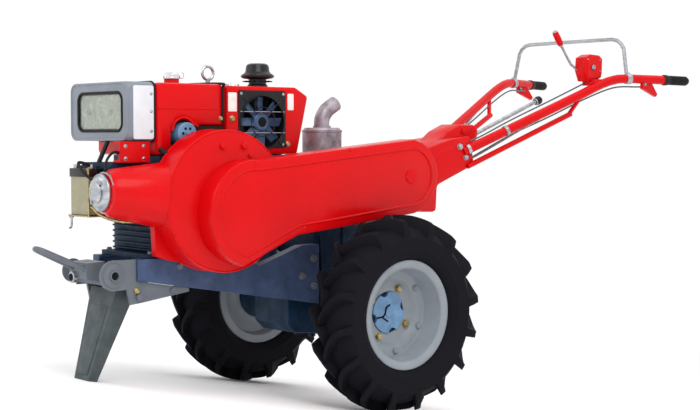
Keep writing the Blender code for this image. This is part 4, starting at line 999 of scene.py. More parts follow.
class TRACTOR_OT_guards(bpy.types.Operator):
    """Add beads, bosses and bolts of the flywheel guard, belt cover and starter"""

    bl_idname = "tractor.guards"
    bl_label = "Guards"

    def execute(self, context):
        size = context.scene.tractor_sizes.bolt
        face, crank = GUARD_FACE, CRANK
        # Rolled rim of the guard, and the flange that it bolts to.
        bm = bmesh.new()
        edge = arc(crank, 0.2105, 0, 360, 96)[:-1]
        add_tube(bm, [(x, face - 0.0035, z) for x, z in edge], 0.0032, 8, loop=True)
        back = arc(crank, 0.2125, 0, 360, 96)[:-1]
        add_tube(bm, [(x, 0.1405, z) for x, z in back], 0.0030, 8, loop=True)
        piece("guard_rolled_rims", bm, "chassis", "red_enamel")
        bm = bmesh.new()
        for angle in (78, 101):
            turn = math.radians(angle)
            x, z = crank[0] + 0.197 * math.cos(turn), crank[1] + 0.197 * math.sin(turn)
            add_bolt(bm, (x - 0.02, face, z - 0.028), (0, 1, 0), 1.1 * size)
        add_bolt(bm, (0.452, face, 0.500), (0, 1, 0), 0.8 * size)
        piece("guard_bolts", bm, "chassis", "red_enamel")
        # Belt cover: pressed bead that follows its edge, and the round boss over the clutch.
        big, small = (0.484, 0.329), (-0.140, 0.427)
        top = 0.305
        outline = arc(big, 0.131, -75, 98, 30) + arc(small, 0.092, 98, 262, 26) + [
            (0.165, 0.302), (0.322, 0.287)
        ]
        bm = bmesh.new()
        path = [(x, top - 0.0012, z) for x, z in outline]
        add_tube(bm, path, 0.0042, 10, loop=True)
        piece("belt_cover_bead", bm, "chassis", "red_enamel")
        bm = bmesh.new()
        boss = [(0.0, -0.001), (0.024, -0.001), (0.022, 0.003), (0.0, 0.004)]
        add_turned(bm, boss, (-0.140, top, 0.427), (0, 1, 0), 36, closed=False)
        piece("belt_cover_boss", bm, "chassis", "red_enamel")
        bm = bmesh.new()
        for x, z in ((0.484, 0.478), (-0.010, 0.322), (0.300, 0.278), (0.120, 0.515)):
            add_screw(bm, (x, top, z), (0, 1, 0), 0.0050)
        piece("belt_cover_screws", bm, "chassis", "red_enamel")
        self.starter()
        return {"FINISHED"}

    def starter(self):
        low, high = machine_box("starter_motor")
        centre = Vector((0.0, 0.131, 0.396))
        bm = bmesh.new()
        spot = Vector((low.x, centre.y, centre.z))
        band = [(0.0555, 0.0), (0.0605, 0.0), (0.0605, 0.010), (0.0555, 0.010)]
        add_turned(bm, band, spot - Vector((0.0115, -0.010, 0)), (1, 0, 0), 48)
        cap = [(0.0, 0.0), (0.030, 0.0), (0.030, 0.004), (0.026, 0.006), (0.0, 0.007)]
        add_turned(bm, cap, Vector((high.x - 0.0005, centre.y, centre.z)), (1, 0, 0), 36, closed=False)
        for k in range(2):
            angle = math.radians(50 + 180 * k)
            offset = Vector((0.0, 0.037 * math.cos(angle), 0.037 * math.sin(angle)))
            add_bolt(bm, Vector((high.x, centre.y, centre.z)) + offset, (1, 0, 0), 0.006)
        piece("starter_end_cap", bm, "chassis", "bare_steel")
        bm = bmesh.new()
        strap = [
            (0.893, 0.041, 0.352),
            (0.891, 0.060, 0.347),
            (0.887, 0.085, 0.332),
            (0.857, 0.095, 0.317),
            (0.808, 0.098, 0.307),
        ]
        strap += [(0.765, 0.096, 0.306), (0.746, 0.084, 0.320), (0.738, 0.0735, 0.337)]
        add_tube(bm, smooth_path([(x, y, z) for x, y, z in strap]), 0.0045, 8)
        piece("starter_strap", bm, "chassis", "yellow_zinc")
        bm = bmesh.new()
        lead = [
            (0.915, 0.100, 0.430),
            (0.930, 0.070, 0.455),
            (0.922, 0.030, 0.480),
            (0.898, 0.028, 0.478),
            (0.880, 0.028, 0.470),
        ]
        add_tube(bm, smooth_path(lead), 0.0045, 10)
        piece("starter_lead", bm, "chassis", "gasket_rubber")


class TRACTOR_OT_battery(bpy.types.Operator):
    """Add lid ribs, terminals and the hold-down of the battery"""

    bl_idname = "tractor.battery"
    bl_label = "Battery"

    def execute(self, context):
        low, high = machine_box("battery")
        middle = (low + high) / 2
        bm = bmesh.new()
        lid = 0.0235
        rim = rounded((low.x - 0.0008, low.y - 0.0008), (high.x + 0.0008, high.y + 0.0008), 0.004, 3)
        add_prism(bm, rim, high.z - lid, high.z + 0.0012, "Z")
        for y in (low.y + 0.020, middle.y - 0.006, high.y - 0.034):
            add_drum(bm, 0.0085, (middle.x, y, high.z), (0, 0, 1), 0.005, 20, 0.001)
        piece("battery_lid", bm, "chassis", "black_plastic", bevel=0.0012)
        bm = bmesh.new()
        for y in (low.y + 0.010, high.y - 0.010):
            add_drum(bm, 0.0070, (middle.x + 0.012, y, high.z + 0.001), (0, 0, 1), 0.012, 20, 0.001)
        piece("battery_posts", bm, "chassis", "bare_steel")
        bm = bmesh.new()
        for k in range(6):
            z = low.z + 0.014 + 0.0145 * k
            add_block(bm, (low.x + 0.006, high.y - 0.004, z), (high.x - 0.006, high.y - 0.0018, z + 0.003))
        piece("battery_case_ribs", bm, "chassis", "olive_plastic", bevel=0.0006)
        bm = bmesh.new()
        hook = [
            (high.x + 0.004, high.y + 0.008, low.z - 0.004), (high.x + 0.004, high.y + 0.008, high.z + 0.004)
        ]
        add_tube(bm, hook, 0.0030, 10)
        add_bolt(bm, (high.x + 0.004, high.y + 0.008, high.z - 0.002), (0, 0, 1), 0.006)
        piece("battery_hold_down", bm, "chassis", "yellow_zinc")
        # Hooked bolt that hangs under the tray.
        bm = bmesh.new()
        tray_low, tray_high = machine_box("battery_tray")
        x, y, z = tray_high.x - 0.007, tray_low.y + 0.009, tray_low.z
        shank = [(x, y, z + 0.0015), (x, y, z - 0.024), (x + 0.002, y, z - 0.033), (x + 0.008, y, z - 0.036)]
        add_tube(bm, smooth_path(shank), 0.0032, 10)
        add_drum(bm, 0.0075, (x, y, z + 0.0004), (0, 0, -1), 0.0050, 24, 0.001)
        piece("tray_hook_bolt", bm, "chassis", "bare_steel")
        return {"FINISHED"}


# ---------------------------------------------------------------- tank, lamp and hood


class TRACTOR_OT_tank(bpy.types.Operator):
    """Add seam, strap, pad and cap details of the fuel tank"""

    bl_idname = "tractor.tank"
    bl_label = "Fuel tank"

    def execute(self, context):
        low, high = machine_box("fuel_tank")
        bm = bmesh.new()
        for y in (high.y - 0.0004, low.y + 0.0004):
            add_tube(bm, [(0.704, y, SEAM_Z), (0.470, y, SEAM_Z)], 0.0018, 8)
        arch = [
            (0.652, 0.575), (0.644, 0.598), (0.620, 0.613), (0.596, 0.611), (0.578, 0.596), (0.560, 0.588)
        ]
        add_tube(bm, smooth_path([(x, high.y - 0.003, z) for x, z in arch]), 0.0040, 8)
        piece("tank_seam", bm, "chassis", "red_enamel")
        bm = bmesh.new()
        y0, y1 = low.y - 0.0015, high.y + 0.0015
        x = low.x + 0.0060
        path = [(x, y1, 0.600), (x, y1, 0.700), (x, y1 - 0.018, 0.7185), (x, y0 + 0.018, 0.7185)]
        path += [(x, y0, 0.700), (x, y0, 0.600)]
        add_tube(bm, smooth_path(path, 4), 0.0045, 8)
        pad = [(0.470, 0.578), (0.590, 0.578), (0.578, 0.589), (0.470, 0.589)]
        add_prism(bm, pad, 0.052, high.y - 0.004)
        piece("tank_strap_and_pad", bm, "chassis", "gasket_rubber", bevel=0.001)
        bm = bmesh.new()
        add_bolt(bm, (0.478, high.y - 0.001, 0.612), (0, 1, 0), 0.0075)
        add_bolt(bm, (0.437, high.y, 0.612), (0, 1, 0), 0.0090)
        add_bolt(bm, (0.222, high.y, 0.532), (0, 1, 0), 0.0090)
        piece("deck_bolts", bm, "chassis", "yellow_zinc")
        low, high = machine_box("filler_cap")
        middle = (low + high) / 2
        bm = bmesh.new()
        add_turned(
            bm,
            [(0.0, 0.0), (0.0262, 0.0), (0.0262, 0.0030), (0.0240, 0.0040), (0.0, 0.0040)],
            (middle.x, middle.y, low.z - 0.0006),
            (0, 0, 1),
            40,
            closed=False,
        )
        for k in range(3):
            angle = 2.0 * math.pi * k / 3
            spot = Vector(
                (middle.x + 0.0225 * math.cos(angle), middle.y + 0.0225 * math.sin(angle), low.z + 0.006)
            )
            add_drum(bm, 0.0045, spot, (math.cos(angle), math.sin(angle), 0), 0.0060, 14, 0.001)
        chain = [(middle.x - 0.024, middle.y, low.z + 0.004), (middle.x - 0.040, middle.y, low.z + 0.002)]
        chain += [(middle.x - 0.044, middle.y, low.z + 0.016), (middle.x - 0.036, middle.y, low.z + 0.020)]
        add_tube(bm, smooth_path(chain), 0.0016, 8)
        piece("filler_cap_ears", bm, "chassis", "chrome_plate")
        low, high = machine_box("alternator")
        bm = bmesh.new()
        spot = (0.600, 0.1180, 0.566)
        rim = [(0.024, -0.004), (0.0335, -0.010), (0.0338, -0.004), (0.030, 0.0006), (0.024, 0.0006)]
        add_turned(bm, rim, spot, (0, 1, 0), 40)
        add_drum(bm, 0.0080, spot, (0, 1, 0), 0.0080, 20, 0.002)
        piece("alternator_end", bm, "chassis", "blue_enamel")
        # Near black discs round the alternator end: painted shade of its vent holes.
        bm = bmesh.new()
        for k in range(6):
            angle = math.radians(60 * k)
            spot = Vector((0.600 + 0.0165 * math.cos(angle), 0.1176, 0.566 + 0.0165 * math.sin(angle)))
            add_drum(bm, 0.0045, spot, (0, 1, 0), 0.0008, 14)
        piece("alternator_vents", bm, "chassis", "dark_recess")
        return {"FINISHED"}


class TRACTOR_OT_headlamp(bpy.types.Operator):
    """Build bezel, gasket, glass, reflector and side panel of the headlamp"""

    bl_idname = "tractor.headlamp"
    bl_label = "Headlamp"

    def execute(self, context):
        low, high = machine_box("headlamp_housing")
        lens_low, lens_high = machine_box("headlamp_lens")
        front = high.x
        bm = bmesh.new()
        gasket = rounded(
            (lens_low.y - 0.003, lens_low.z - 0.003), (lens_high.y + 0.003, lens_high.z + 0.003), 0.026, 10
        )
        add_tube(bm, [(front - 0.0006, y, z) for y, z in gasket], 0.0046, 10, loop=True)
        piece("lens_gasket", bm, "chassis", "gasket_rubber")
        # Glass with a flat outer face, and behind it the reflector in two bays.
        outline = rounded((lens_low.y, lens_low.z), (lens_high.y, lens_high.z), 0.022, 8)
        bm = bmesh.new()
        add_prism(bm, outline, front - 0.0035, front - 0.0012, "X")
        glass = piece("lens_pane", bm, "chassis", "lens_glass", bevel=0.0008)
        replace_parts(glass, "headlamp_lens")
        bm = bmesh.new()
        back = front - 0.0115
        split = lens_low.y + 0.37 * (lens_high.y - lens_low.y)
        rows, cols = 14, 28
        grid = []
        for i in range(rows + 1):
            line = []
            for j in range(cols + 1):
                y = lens_low.y + 0.004 + (lens_high.y - lens_low.y - 0.008) * j / cols
                z = lens_low.z + 0.004 + (lens_high.z - lens_low.z - 0.008) * i / rows
                bay_low, bay_high = (lens_low.y, split) if y < split else (split, lens_high.y)
                u = (2 * y - bay_low - bay_high) / (bay_high - bay_low)
                v = (2 * z - lens_low.z - lens_high.z) / (lens_high.z - lens_low.z)
                rise = 0.0060 * min(1.0, max(u * u, v * v) ** 1.5)
                line.append(bm.verts.new((back + rise, y, z)))
            grid.append(line)
        for i in range(rows):
            for j in range(cols):
                bm.faces.new((grid[i][j], grid[i][j + 1], grid[i + 1][j + 1], grid[i + 1][j]))
        piece("lamp_reflector", bm, "chassis", "reflector", smooth=60)
        bm = bmesh.new()
        for y in ((split + lens_high.y) / 2, (split + lens_low.y) / 2):
            spot = (back - 0.0012, y, (lens_low.z + lens_high.z) / 2)
            add_turned(
                bm,
                [(0, 0), (0.009, 0), (0.009, 0.003), (0.006, 0.0055), (0, 0.0065)],
                spot,
                (1, 0, 0),
                24,
                closed=False,
            )
        piece("lamp_bulbs", bm, "chassis", "bare_steel")
        # Pressed bezel: a raised frame round the glass with a lip along its foot.
        bm = bmesh.new()
        outer = rounded((low.y + 0.004, low.z + 0.004), (high.y - 0.004, high.z - 0.004), 0.026, 10)
        add_tube(bm, [(front - 0.0012, y, z) for y, z in outer], 0.0036, 10, loop=True)
        piece("lamp_bezel", bm, "chassis", "lamp_enamel")
        # Bright side panels with their screws, and the rubber edge next to the tank.
        panel = bmesh.new()
        screws = bmesh.new()
        for face, out in ((high.y, 1.0), (low.y, -1.0)):
            outline = rounded((low.x + 0.007, low.z + 0.006), (front - 0.018, high.z - 0.012), 0.006, 4)
            add_prism(panel, outline, face - 0.001 * out, face + 0.0016 * out)
            for z in (low.z + 0.030, low.z + 0.088, high.z - 0.036):
                add_screw(screws, (low.x + 0.016, face + 0.0016 * out, z), (0, out, 0), 0.0038)
        piece("lamp_side_panels", panel, "chassis", "brushed_panel", bevel=0.0008)
        piece("lamp_screws", screws, "chassis", "bare_steel")
        bm = bmesh.new()
        edge = rounded((low.y - 0.0006, low.z - 0.0006), (high.y + 0.0006, high.z + 0.0006), 0.022, 8)
        add_tube(bm, [(low.x + 0.0028, y, z) for y, z in edge], 0.0030, 8, loop=True)
        piece("lamp_rubber_edge", bm, "chassis", "gasket_rubber")
        low, high = machine_box("lamp_bracket")
        # One bent plate on the left carries the lamp.
        bm = bmesh.new()
        add_block(bm, (low.x, high.y - 0.010, low.z), (high.x - 0.012, high.y, high.z))
        add_block(bm, (low.x, high.y - 0.040, low.z), (high.x - 0.012, high.y - 0.008, low.z + 0.008))
        add_block(bm, (low.x, high.y - 0.040, high.z - 0.008), (high.x - 0.012, high.y - 0.008, high.z))
        plate = piece("lamp_bracket_plate", bm, "chassis", "red_enamel", bevel=0.0015)
        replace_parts(plate, "lamp_bracket")
        bm = bmesh.new()
        for x in (low.x + 0.022, high.x - 0.030):
            add_screw(bm, (x, high.y, high.z - 0.014), (0, 1, 0), 0.0045)
            add_screw(bm, (x, high.y, low.z + 0.012), (0, 1, 0), 0.0045)
        piece("bracket_screws", bm, "chassis", "bare_steel")
        return {"FINISHED"}


class TRACTOR_OT_hood(bpy.types.Operator):
    """Add fan guard, seams, blank labels and precleaner details of the radiator hood"""

    bl_idname = "tractor.hood"
    bl_label = "Radiator hood"

    def execute(self, context):
        low, high = machine_box("fan_shroud")
        fan_low, fan_high = machine_box("cooling_fan")
        centre = (fan_low + fan_high) / 2
        face = high.y
        wire = bmesh.new()
        for z in (centre.z + 0.032, centre.z - 0.034):
            add_tube(wire, [(low.x + 0.004, face + 0.0012, z), (high.x - 0.004, face + 0.0012, z)], 0.0016, 8)
        piece("fan_guard_bars", wire, "chassis", "bare_steel")
        wire = bmesh.new()
        for radius in (0.082, 0.046):
            ring = ring_spots(centre, radius, 64, 0.0, face + 0.0038)
            add_tube(wire, ring, 0.0013, 8, loop=True)
        for k in range(4):
            angle = math.radians(45 + 90 * k)
            ahead = Vector((math.cos(angle), 0.0, math.sin(angle)))
            middle = Vector((centre.x, face + 0.0030, centre.z))
            add_tube(
                wire, [middle + ahead * 0.046, middle + ahead * 0.104 - Vector((0.0, 0.0022, 0.0))], 0.0013, 8
            )
        piece("fan_wire_guard", wire, "chassis", "black_plastic")
        bm = bmesh.new()
        for x in (low.x + 0.010, high.x - 0.010):
            for z in (low.z + 0.010, high.z - 0.010):
                add_screw(bm, (x, face, z), (0, 1, 0), 0.0036)
        piece("shroud_screws", bm, "chassis", "bare_steel")
        bm = bmesh.new()
        ring = [(0.0840, -0.004), (0.0875, -0.004), (0.0875, 0.0018), (0.0840, 0.0018)]
        add_turned(bm, ring, (centre.x, face, centre.z), (0, 1, 0), 64)
        piece("shroud_ring", bm, "chassis", "black_plastic")
        # Near black disc on the fan hub: painted shade of its recess.
        bm = bmesh.new()
        hub = [(0.0, -0.001), (0.0155, -0.001), (0.0150, 0.0012), (0.0, 0.0014)]
        add_turned(bm, hub, (centre.x, fan_high.y, centre.z), (0, 1, 0), 28, closed=False)
        piece("fan_hub_recess", bm, "fan", "dark_recess")
        low, high = machine_box("radiator_hood")
        bm = bmesh.new()
        for x0, x1, z0, z1 in ((0.418, 0.450, 0.634, 0.692), (0.196, 0.220, 0.640, 0.692)):
            add_prism(bm, rounded((x0, z0), (x1, z1), 0.003, 3), high.y - 0.0005, high.y + 0.0006)
        piece("blank_labels", bm, "chassis", "label_vinyl")
        bm = bmesh.new()
        add_tube(bm, [(0.4545, high.y - 0.0005, 0.505), (0.4545, high.y - 0.0005, 0.705)], 0.0022, 8)
        add_tube(bm, [(0.190, high.y - 0.004, 0.7095), (0.452, high.y - 0.004, 0.7095)], 0.0022, 8)
        add_tube(bm, [(0.190, low.y + 0.004, 0.7095), (0.452, low.y + 0.004, 0.7095)], 0.0022, 8)
        piece("hood_hems", bm, "chassis", "red_enamel")
        # Louvres on the right side, where the cooling air leaves.
        bm = bmesh.new()
        for k in range(8):
            x = 0.215 + 0.026 * k
            outline = [(x, 0.550), (x + 0.006, 0.550), (x + 0.006, 0.670), (x, 0.670)]
            add_prism(bm, outline, low.y - 0.003, low.y + 0.001)
        piece("hood_louvres", bm, "chassis", "red_enamel", bevel=0.0014)
        # Near black strips between the louvres: painted shade of the gaps.
        bm = bmesh.new()
        for k in range(8):
            x = 0.2215 + 0.026 * k
            add_prism(
                bm,
                [(x, 0.553), (x + 0.008, 0.553), (x + 0.008, 0.667), (x, 0.667)],
                low.y - 0.0006,
                low.y + 0.001,
            )
        piece("hood_louvre_gaps", bm, "chassis", "dark_recess")
        bm = bmesh.new()
        spot = (0.372, 0.030, 0.7125)
        cap = [(0.0, 0.0), (0.020, 0.0), (0.020, 0.004), (0.017, 0.010), (0.010, 0.012), (0.0, 0.012)]
        add_turned(bm, cap, spot, (0, 0, 1), 32, closed=False)
        add_block(bm, (0.348, 0.026, 0.7175), (0.396, 0.034, 0.7215))
        piece("radiator_cap", bm, "chassis", "chrome_plate", bevel=0.0008)
        low, high = machine_box("air_precleaner")
        middle = (low + high) / 2
        # Bell shaped cap over the intake: a domed crown that flares into a lip above the neck.
        reach, tall = (high.x - low.x) / 2, high.z - low.z
        bell = [(0.0, 0.0), (0.62, 0.0), (0.62, 0.10), (0.54, 0.14), (0.54, 0.34), (0.90, 0.38), (0.99, 0.42)]
        bell += [
            (1.0, 0.47), (0.97, 0.53), (0.80, 0.60), (0.73, 0.68), (0.70, 0.86), (0.64, 0.94), (0.50, 0.99)
        ]
        bell += [(0.0, 1.0)]
        bm = bmesh.new()
        profile = [(reach * r, tall * z) for r, z in bell]
        add_turned(bm, profile, (middle.x, middle.y, low.z), (0, 0, 1), 56, closed=False)
        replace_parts(piece("precleaner_bell", bm, "chassis", "black_plastic"), "air_precleaner")
        bm = bmesh.new()
        add_turned(
            bm,
            [(0.0525, 0.0), (0.0540, 0.001), (0.0540, 0.004), (0.0525, 0.005)],
            (middle.x, middle.y, low.z + 0.47 * tall - 0.0025),
            (0, 0, 1),
            48,
        )
        for k in range(10):
            angle = 2.0 * math.pi * k / 10
            ahead = Vector((math.cos(angle), math.sin(angle), 0.0))
            spot = Vector((middle.x, middle.y, low.z + 0.020))
            add_tube(bm, [spot + ahead * 0.020, spot + ahead * 0.048], 0.0020, 6)
        piece("precleaner_vanes", bm, "chassis", "black_plastic")
        low, high = machine_box("lifting_eye")
        bm = bmesh.new()
        x = (low.x + high.x) / 2
        add_turned(
            bm,
            [(0.0, 0.0), (0.0125, 0.0), (0.0125, 0.004), (0.0085, 0.0075), (0.0, 0.0075)],
            (x, 0.0, low.z - 0.0004),
            (0, 0, 1),
            28,
            closed=False,
        )
        piece("lifting_eye_collar", bm, "chassis", "bare_steel")
        return {"FINISHED"}


class TRACTOR_OT_exhaust(bpy.types.Operator):
    """Add bands, seams and flange of the exhaust"""

    bl_idname = "tractor.exhaust"
    bl_label = "Exhaust"

    def execute(self, context):
        centre = (-0.030, -0.020)
        bm = bmesh.new()
        for z in (0.470, 0.5745):
            band = [(0.0655, -0.004), (0.0680, -0.003), (0.0680, 0.003), (0.0655, 0.004)]
            add_turned(bm, band, (*centre, z), (0, 0, 1), 56)
        add_tube(
            bm, [(centre[0] - 0.0655, centre[1], 0.474), (centre[0] - 0.0655, centre[1], 0.571)], 0.0020, 8
        )
        neck = [(0.0255, 0.0), (0.0300, 0.0), (0.0300, 0.006), (0.0255, 0.006)]
        add_turned(bm, neck, (*centre, 0.586), (0, 0, 1), 32)
        piece("muffler_bands", bm, "chassis", "heated_steel")
        bm = bmesh.new()
        x = 0.2340
        flange = rounded((-0.052, 0.452), (0.012, 0.508), 0.010, 5)
        add_prism(bm, flange, x - 0.009, x, "X")
        piece("manifold_flange", bm, "chassis", "heated_steel", bevel=0.0015)
        bm = bmesh.new()
        for y, z in ((-0.044, 0.460), (0.004, 0.500)):
            add_bolt(bm, (x - 0.009, y, z), (-1, 0, 0), 0.0080)
        piece("manifold_nuts", bm, "chassis", "heated_steel")
        return {"FINISHED"}


# ---------------------------------------------------------------- handles and controls


class TRACTOR_OT_handles(bpy.types.Operator):
    """Add clamps, bolts, grip ribs, cables and rods of the handlebars"""

    bl_idname = "tractor.handles"
    bl_label = "Handlebars"

    def execute(self, context):
        sizes = context.scene.tractor_sizes
        steel = bmesh.new()
        red = bmesh.new()
        for out in (1.0, -1.0):
            for x, z in ((-0.265, 0.335), (-0.265, 0.425), (-0.345, 0.350)):
                add_bolt(red, (x, 0.100 * out, z), (0, out, 0), sizes.bolt)
            add_bolt(steel, (-0.560, 0.100 * out, 0.520), (0, out, 0), 1.1 * sizes.bolt)
            add_bolt(steel, (-0.590, 0.100 * out, 0.482), (0, out, 0), sizes.bolt)
            add_bolt(red, (-0.620, 0.056 * out, 0.575), (0, out, 0), sizes.bolt)
        piece("handle_base_bolts", red, "chassis", "red_enamel")
        for side, out in SIDES:
            along = Vector((-0.903 + 0.585, 0.100 * out, 0.143)).normalized()
            for share in (0.06, 0.52):
                spot = Vector((-0.585, 0.092 * out, 0.502)).lerp(Vector((-0.903, 0.192 * out, 0.645)), share)
                band = [(0.0172, -0.006), (0.0195, -0.006), (0.0195, 0.006), (0.0172, 0.006)]
                add_turned(steel, band, spot, along, 28)
        for out in (1.0, -1.0):
            spot = Vector((-1.250, 0.293 * out, 0.7710))
            along = Vector((-0.99, 0.31 * out, 0.0)).normalized()
            band = [(0.0172, -0.011), (0.0198, -0.010), (0.0198, 0.010), (0.0172, 0.011)]
            add_turned(steel, band, spot, along, 28)
            add_bolt(steel, spot + Vector((0.0, 0.0, 0.0190)), (0, 0, 1), 0.0065)
        piece("handle_clamps", steel, "chassis", "bare_steel")
        self.grips()
        self.cables(sizes)
        return {"FINISHED"}

    def grips(self):
        for side, out in SIDES:
            low, high = machine_box(f"grip_{side}")
            near = Vector((high.x, (low.y if out > 0 else high.y), 0.769))
            bend = Vector((-0.98, 0.18 * out, -0.02)).normalized()
            start = Vector((-1.398, 0.340 * out, 0.769))
            bm = bmesh.new()
            for k in range(12):
                spot = start + Vector((-0.0115, 0.0035 * out, 0.0)) + bend * (0.018 + 0.0072 * k)
                ring = [(0.0150, -0.0018), (0.0178, -0.0010), (0.0178, 0.0010), (0.0150, 0.0018)]
                add_turned(bm, ring, spot, bend, 28)
            piece(f"grip_ribs_{side}", bm, "chassis", "grip_rubber")

    def cables(self, sizes):
        """Control cables and steering rods that run beside the handlebars, held at their ends."""
        bm = bmesh.new()
        for _, out in SIDES:
            line = [(-1.340, 0.312 * out, 0.742), (-1.290, 0.298 * out, 0.742), (-1.200, 0.268 * out, 0.738)]
            line += [(-1.090, 0.236 * out, 0.700), (-0.940, 0.190 * out, 0.632), (-0.780, 0.140 * out, 0.562)]
            line += [(-0.660, 0.108 * out, 0.502), (-0.600, 0.092 * out, 0.470)]
            add_tube(bm, smooth_path(line), sizes.cable, 8)
        line = [
            (-1.118, 0.214, 0.792),
            (-1.120, 0.214, 0.765),
            (-1.080, 0.205, 0.745),
            (-0.960, 0.172, 0.690),
            (-0.800, 0.126, 0.618),
        ]
        line += [(-0.680, 0.094, 0.560), (-0.600, 0.080, 0.530)]
        add_tube(bm, smooth_path(line), sizes.cable, 8)
        piece("control_cables", bm, "chassis", "cable_sheath")
        bm = bmesh.new()
        for out in (1.0, -1.0):
            line = [(-1.058, 0.240 * out, 0.715), (-0.640, 0.086 * out, 0.480), (-0.600, 0.088 * out, 0.470)]
            add_tube(bm, line, 0.0040, 8)
        piece("steering_rods", bm, "chassis", "bare_steel")


class TRACTOR_OT_controls(bpy.types.Operator):
    """Add knobs, pivots and screws of the hand controls"""

    bl_idname = "tractor.controls"
    bl_label = "Controls"

    def execute(self, context):
        bm = bmesh.new()
        start = Vector((-0.990, 0.190, 0.892))
        ahead = Vector((0.035, 0.0, 0.048)).normalized()
        knob = [
            (0.0, 0.0),
            (0.0095, 0.0),
            (0.0115, 0.006),
            (0.0122, 0.030),
            (0.0112, 0.052),
            (0.0075, 0.0585),
            (0.0, 0.0595),
        ]
        add_turned(bm, knob, start, ahead, 28, closed=False)
        piece("clutch_lever_grip", bm, "chassis", "red_enamel")
        bm = bmesh.new()
        start = Vector((-0.996, 0.060, 0.6855))
        ahead = Vector((-0.028, 0.0, 0.0105)).normalized()
        knob = [
            (0.0, -0.004),
            (0.0100, -0.004),
            (0.0150, 0.004),
            (0.0162, 0.014),
            (0.0150, 0.024),
            (0.0090, 0.031),
            (0.0, 0.032),
        ]
        add_turned(bm, knob, start, ahead, 28, closed=False)
        piece("gear_knob", bm, "chassis", "grip_rubber")
        bm = bmesh.new()
        for x, z in ((-1.150, 0.840), (-1.084, 0.840), (-1.150, 0.800)):
            add_screw(bm, (x, 0.2405, z), (0, 1, 0), 0.0040)
            add_screw(bm, (x, 0.188, z), (0, -1, 0), 0.0040)
        add_bolt(bm, (-1.108, 0.2405, 0.812), (0, 1, 0), 0.0110)
        piece("control_box_screws", bm, "chassis", "bare_steel")
        bm = bmesh.new()
        outline = rounded((-1.158, 0.772), (-1.080, 0.850), 0.012, 5)
        add_prism(bm, outline, 0.2400, 0.2425)
        piece("control_box_cover", bm, "chassis", "red_enamel", bevel=0.001)
        bm = bmesh.new()
        for out in (1.0, -1.0):
            add_bolt(bm, (-1.312, 0.323 * out, 0.752), (0, out, 0), 0.0060)
            add_bolt(bm, (-1.312, 0.311 * out, 0.752), (0, -out, 0), 0.0060)
        piece("steering_lever_pivots", bm, "chassis", "bare_steel")
        return {"FINISHED"}


# ---------------------------------------------------------------- stage


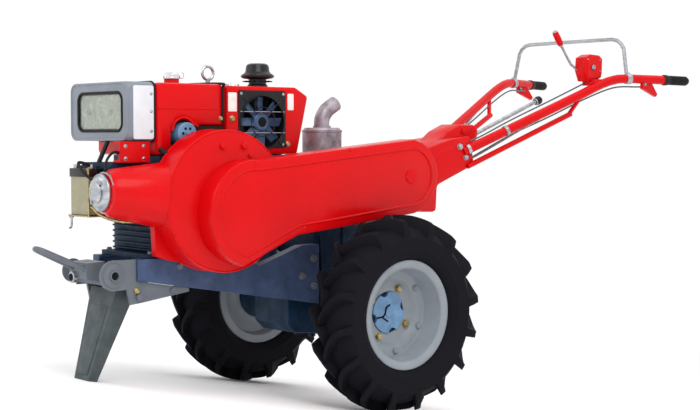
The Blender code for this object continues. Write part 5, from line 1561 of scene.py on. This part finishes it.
class TRACTOR_OT_stage(bpy.types.Operator):
    """Lay the pale floor, light it softly and place the camera"""

    bl_idname = "tractor.stage"
    bl_label = "Stage"

    def execute(self, context):
        studio = context.scene.tractor_studio
        half = studio.floor_size / 2
        bm = bmesh.new()
        corners = [(-half, -half), (half, -half), (half, half), (-half, half)]
        bm.faces.new([bm.verts.new((x, y, 0.0)) for x, y in corners])
        mesh = bpy.data.meshes.new("floor")
        bm.to_mesh(mesh)
        bm.free()
        pale = context.scene.tractor_colours.floor[:]
        mesh.materials.append(surface("matt_floor", pale, darker(pale, 0.97), (0.80, 0.90), 900, 30, 0.05))
        floor = bpy.data.objects.new("floor", mesh)
        bpy.context.scene.collection.objects.link(floor)

        world = bpy.data.worlds.new("pale_surround")
        context.scene.world = world
        world.use_nodes = True
        backdrop = world.node_tree.nodes["Background"]
        backdrop.inputs["Color"].default_value = (1.0, 1.0, 1.0, 1.0)
        backdrop.inputs["Strength"].default_value = studio.sky
        for name, spot, size, power in LIGHTS:
            lamp = bpy.data.lights.new(name, "AREA")
            lamp.size = size
            lamp.energy = getattr(studio, power)
            light = bpy.data.objects.new(name, lamp)
            light.location = spot
            aim = Vector(LIGHT_AIM) - Vector(spot)
            light.rotation_mode = "QUATERNION"
            light.rotation_quaternion = aim.to_track_quat("-Z", "Y")
            context.scene.collection.objects.link(light)

        data = bpy.data.cameras.new("camera")
        data.lens = studio.focal_length
        data.sensor_width = SENSOR_WIDTH
        data.clip_end = 200.0
        camera = bpy.data.objects.new("camera", data)
        ahead = Vector(CAMERA_AHEAD).normalized()
        right = Vector(CAMERA_RIGHT).normalized()
        up = right.cross(ahead).normalized()
        turn = Matrix((right, up, -ahead)).transposed().to_4x4()
        camera.matrix_world = MACHINE @ Matrix.Translation(CAMERA_PLACE) @ turn
        context.scene.collection.objects.link(camera)
        context.scene.camera = camera
        context.scene.view_settings.view_transform = "Standard"
        return {"FINISHED"}


STEPS = (
    TRACTOR_OT_finishes,
    TRACTOR_OT_wheels,
    TRACTOR_OT_running_gear,
    TRACTOR_OT_stand,
    TRACTOR_OT_engine,
    TRACTOR_OT_guards,
    TRACTOR_OT_battery,
    TRACTOR_OT_tank,
    TRACTOR_OT_headlamp,
    TRACTOR_OT_hood,
    TRACTOR_OT_exhaust,
    TRACTOR_OT_handles,
    TRACTOR_OT_controls,
    TRACTOR_OT_stage,
)


class TRACTOR_PT_panel(bpy.types.Panel):
    """Lists the steps, sizes and colours of the tractor"""

    bl_idname = "TRACTOR_PT_panel"
    bl_label = "Walking tractor"
    bl_space_type = "VIEW_3D"
    bl_region_type = "UI"
    bl_category = "Tractor"

    def draw(self, context):
        layout = self.layout
        for step in STEPS:
            layout.operator(step.bl_idname)
        for group in (
            context.scene.tractor_sizes,
            context.scene.tractor_colours,
            context.scene.tractor_studio,
        ):
            box = layout.box()
            for key in group.__annotations__:
                box.prop(group, key)


CLASSES = (TractorColours, TractorSizes, TractorStudio, *STEPS, TRACTOR_PT_panel)


def register():
    for cls in CLASSES:
        bpy.utils.register_class(cls)
    bpy.types.Scene.tractor_colours = PointerProperty(type=TractorColours)
    bpy.types.Scene.tractor_sizes = PointerProperty(type=TractorSizes)
    bpy.types.Scene.tractor_studio = PointerProperty(type=TractorStudio)


def unregister():
    del bpy.types.Scene.tractor_studio
    del bpy.types.Scene.tractor_sizes
    del bpy.types.Scene.tractor_colours
    for cls in reversed(CLASSES):
        bpy.utils.unregister_class(cls)


def main():
    register()
    for step in STEPS:
        group, name = step.bl_idname.split(".")
        getattr(getattr(bpy.ops, group), name)()


if __name__ == "__main__":
    main()
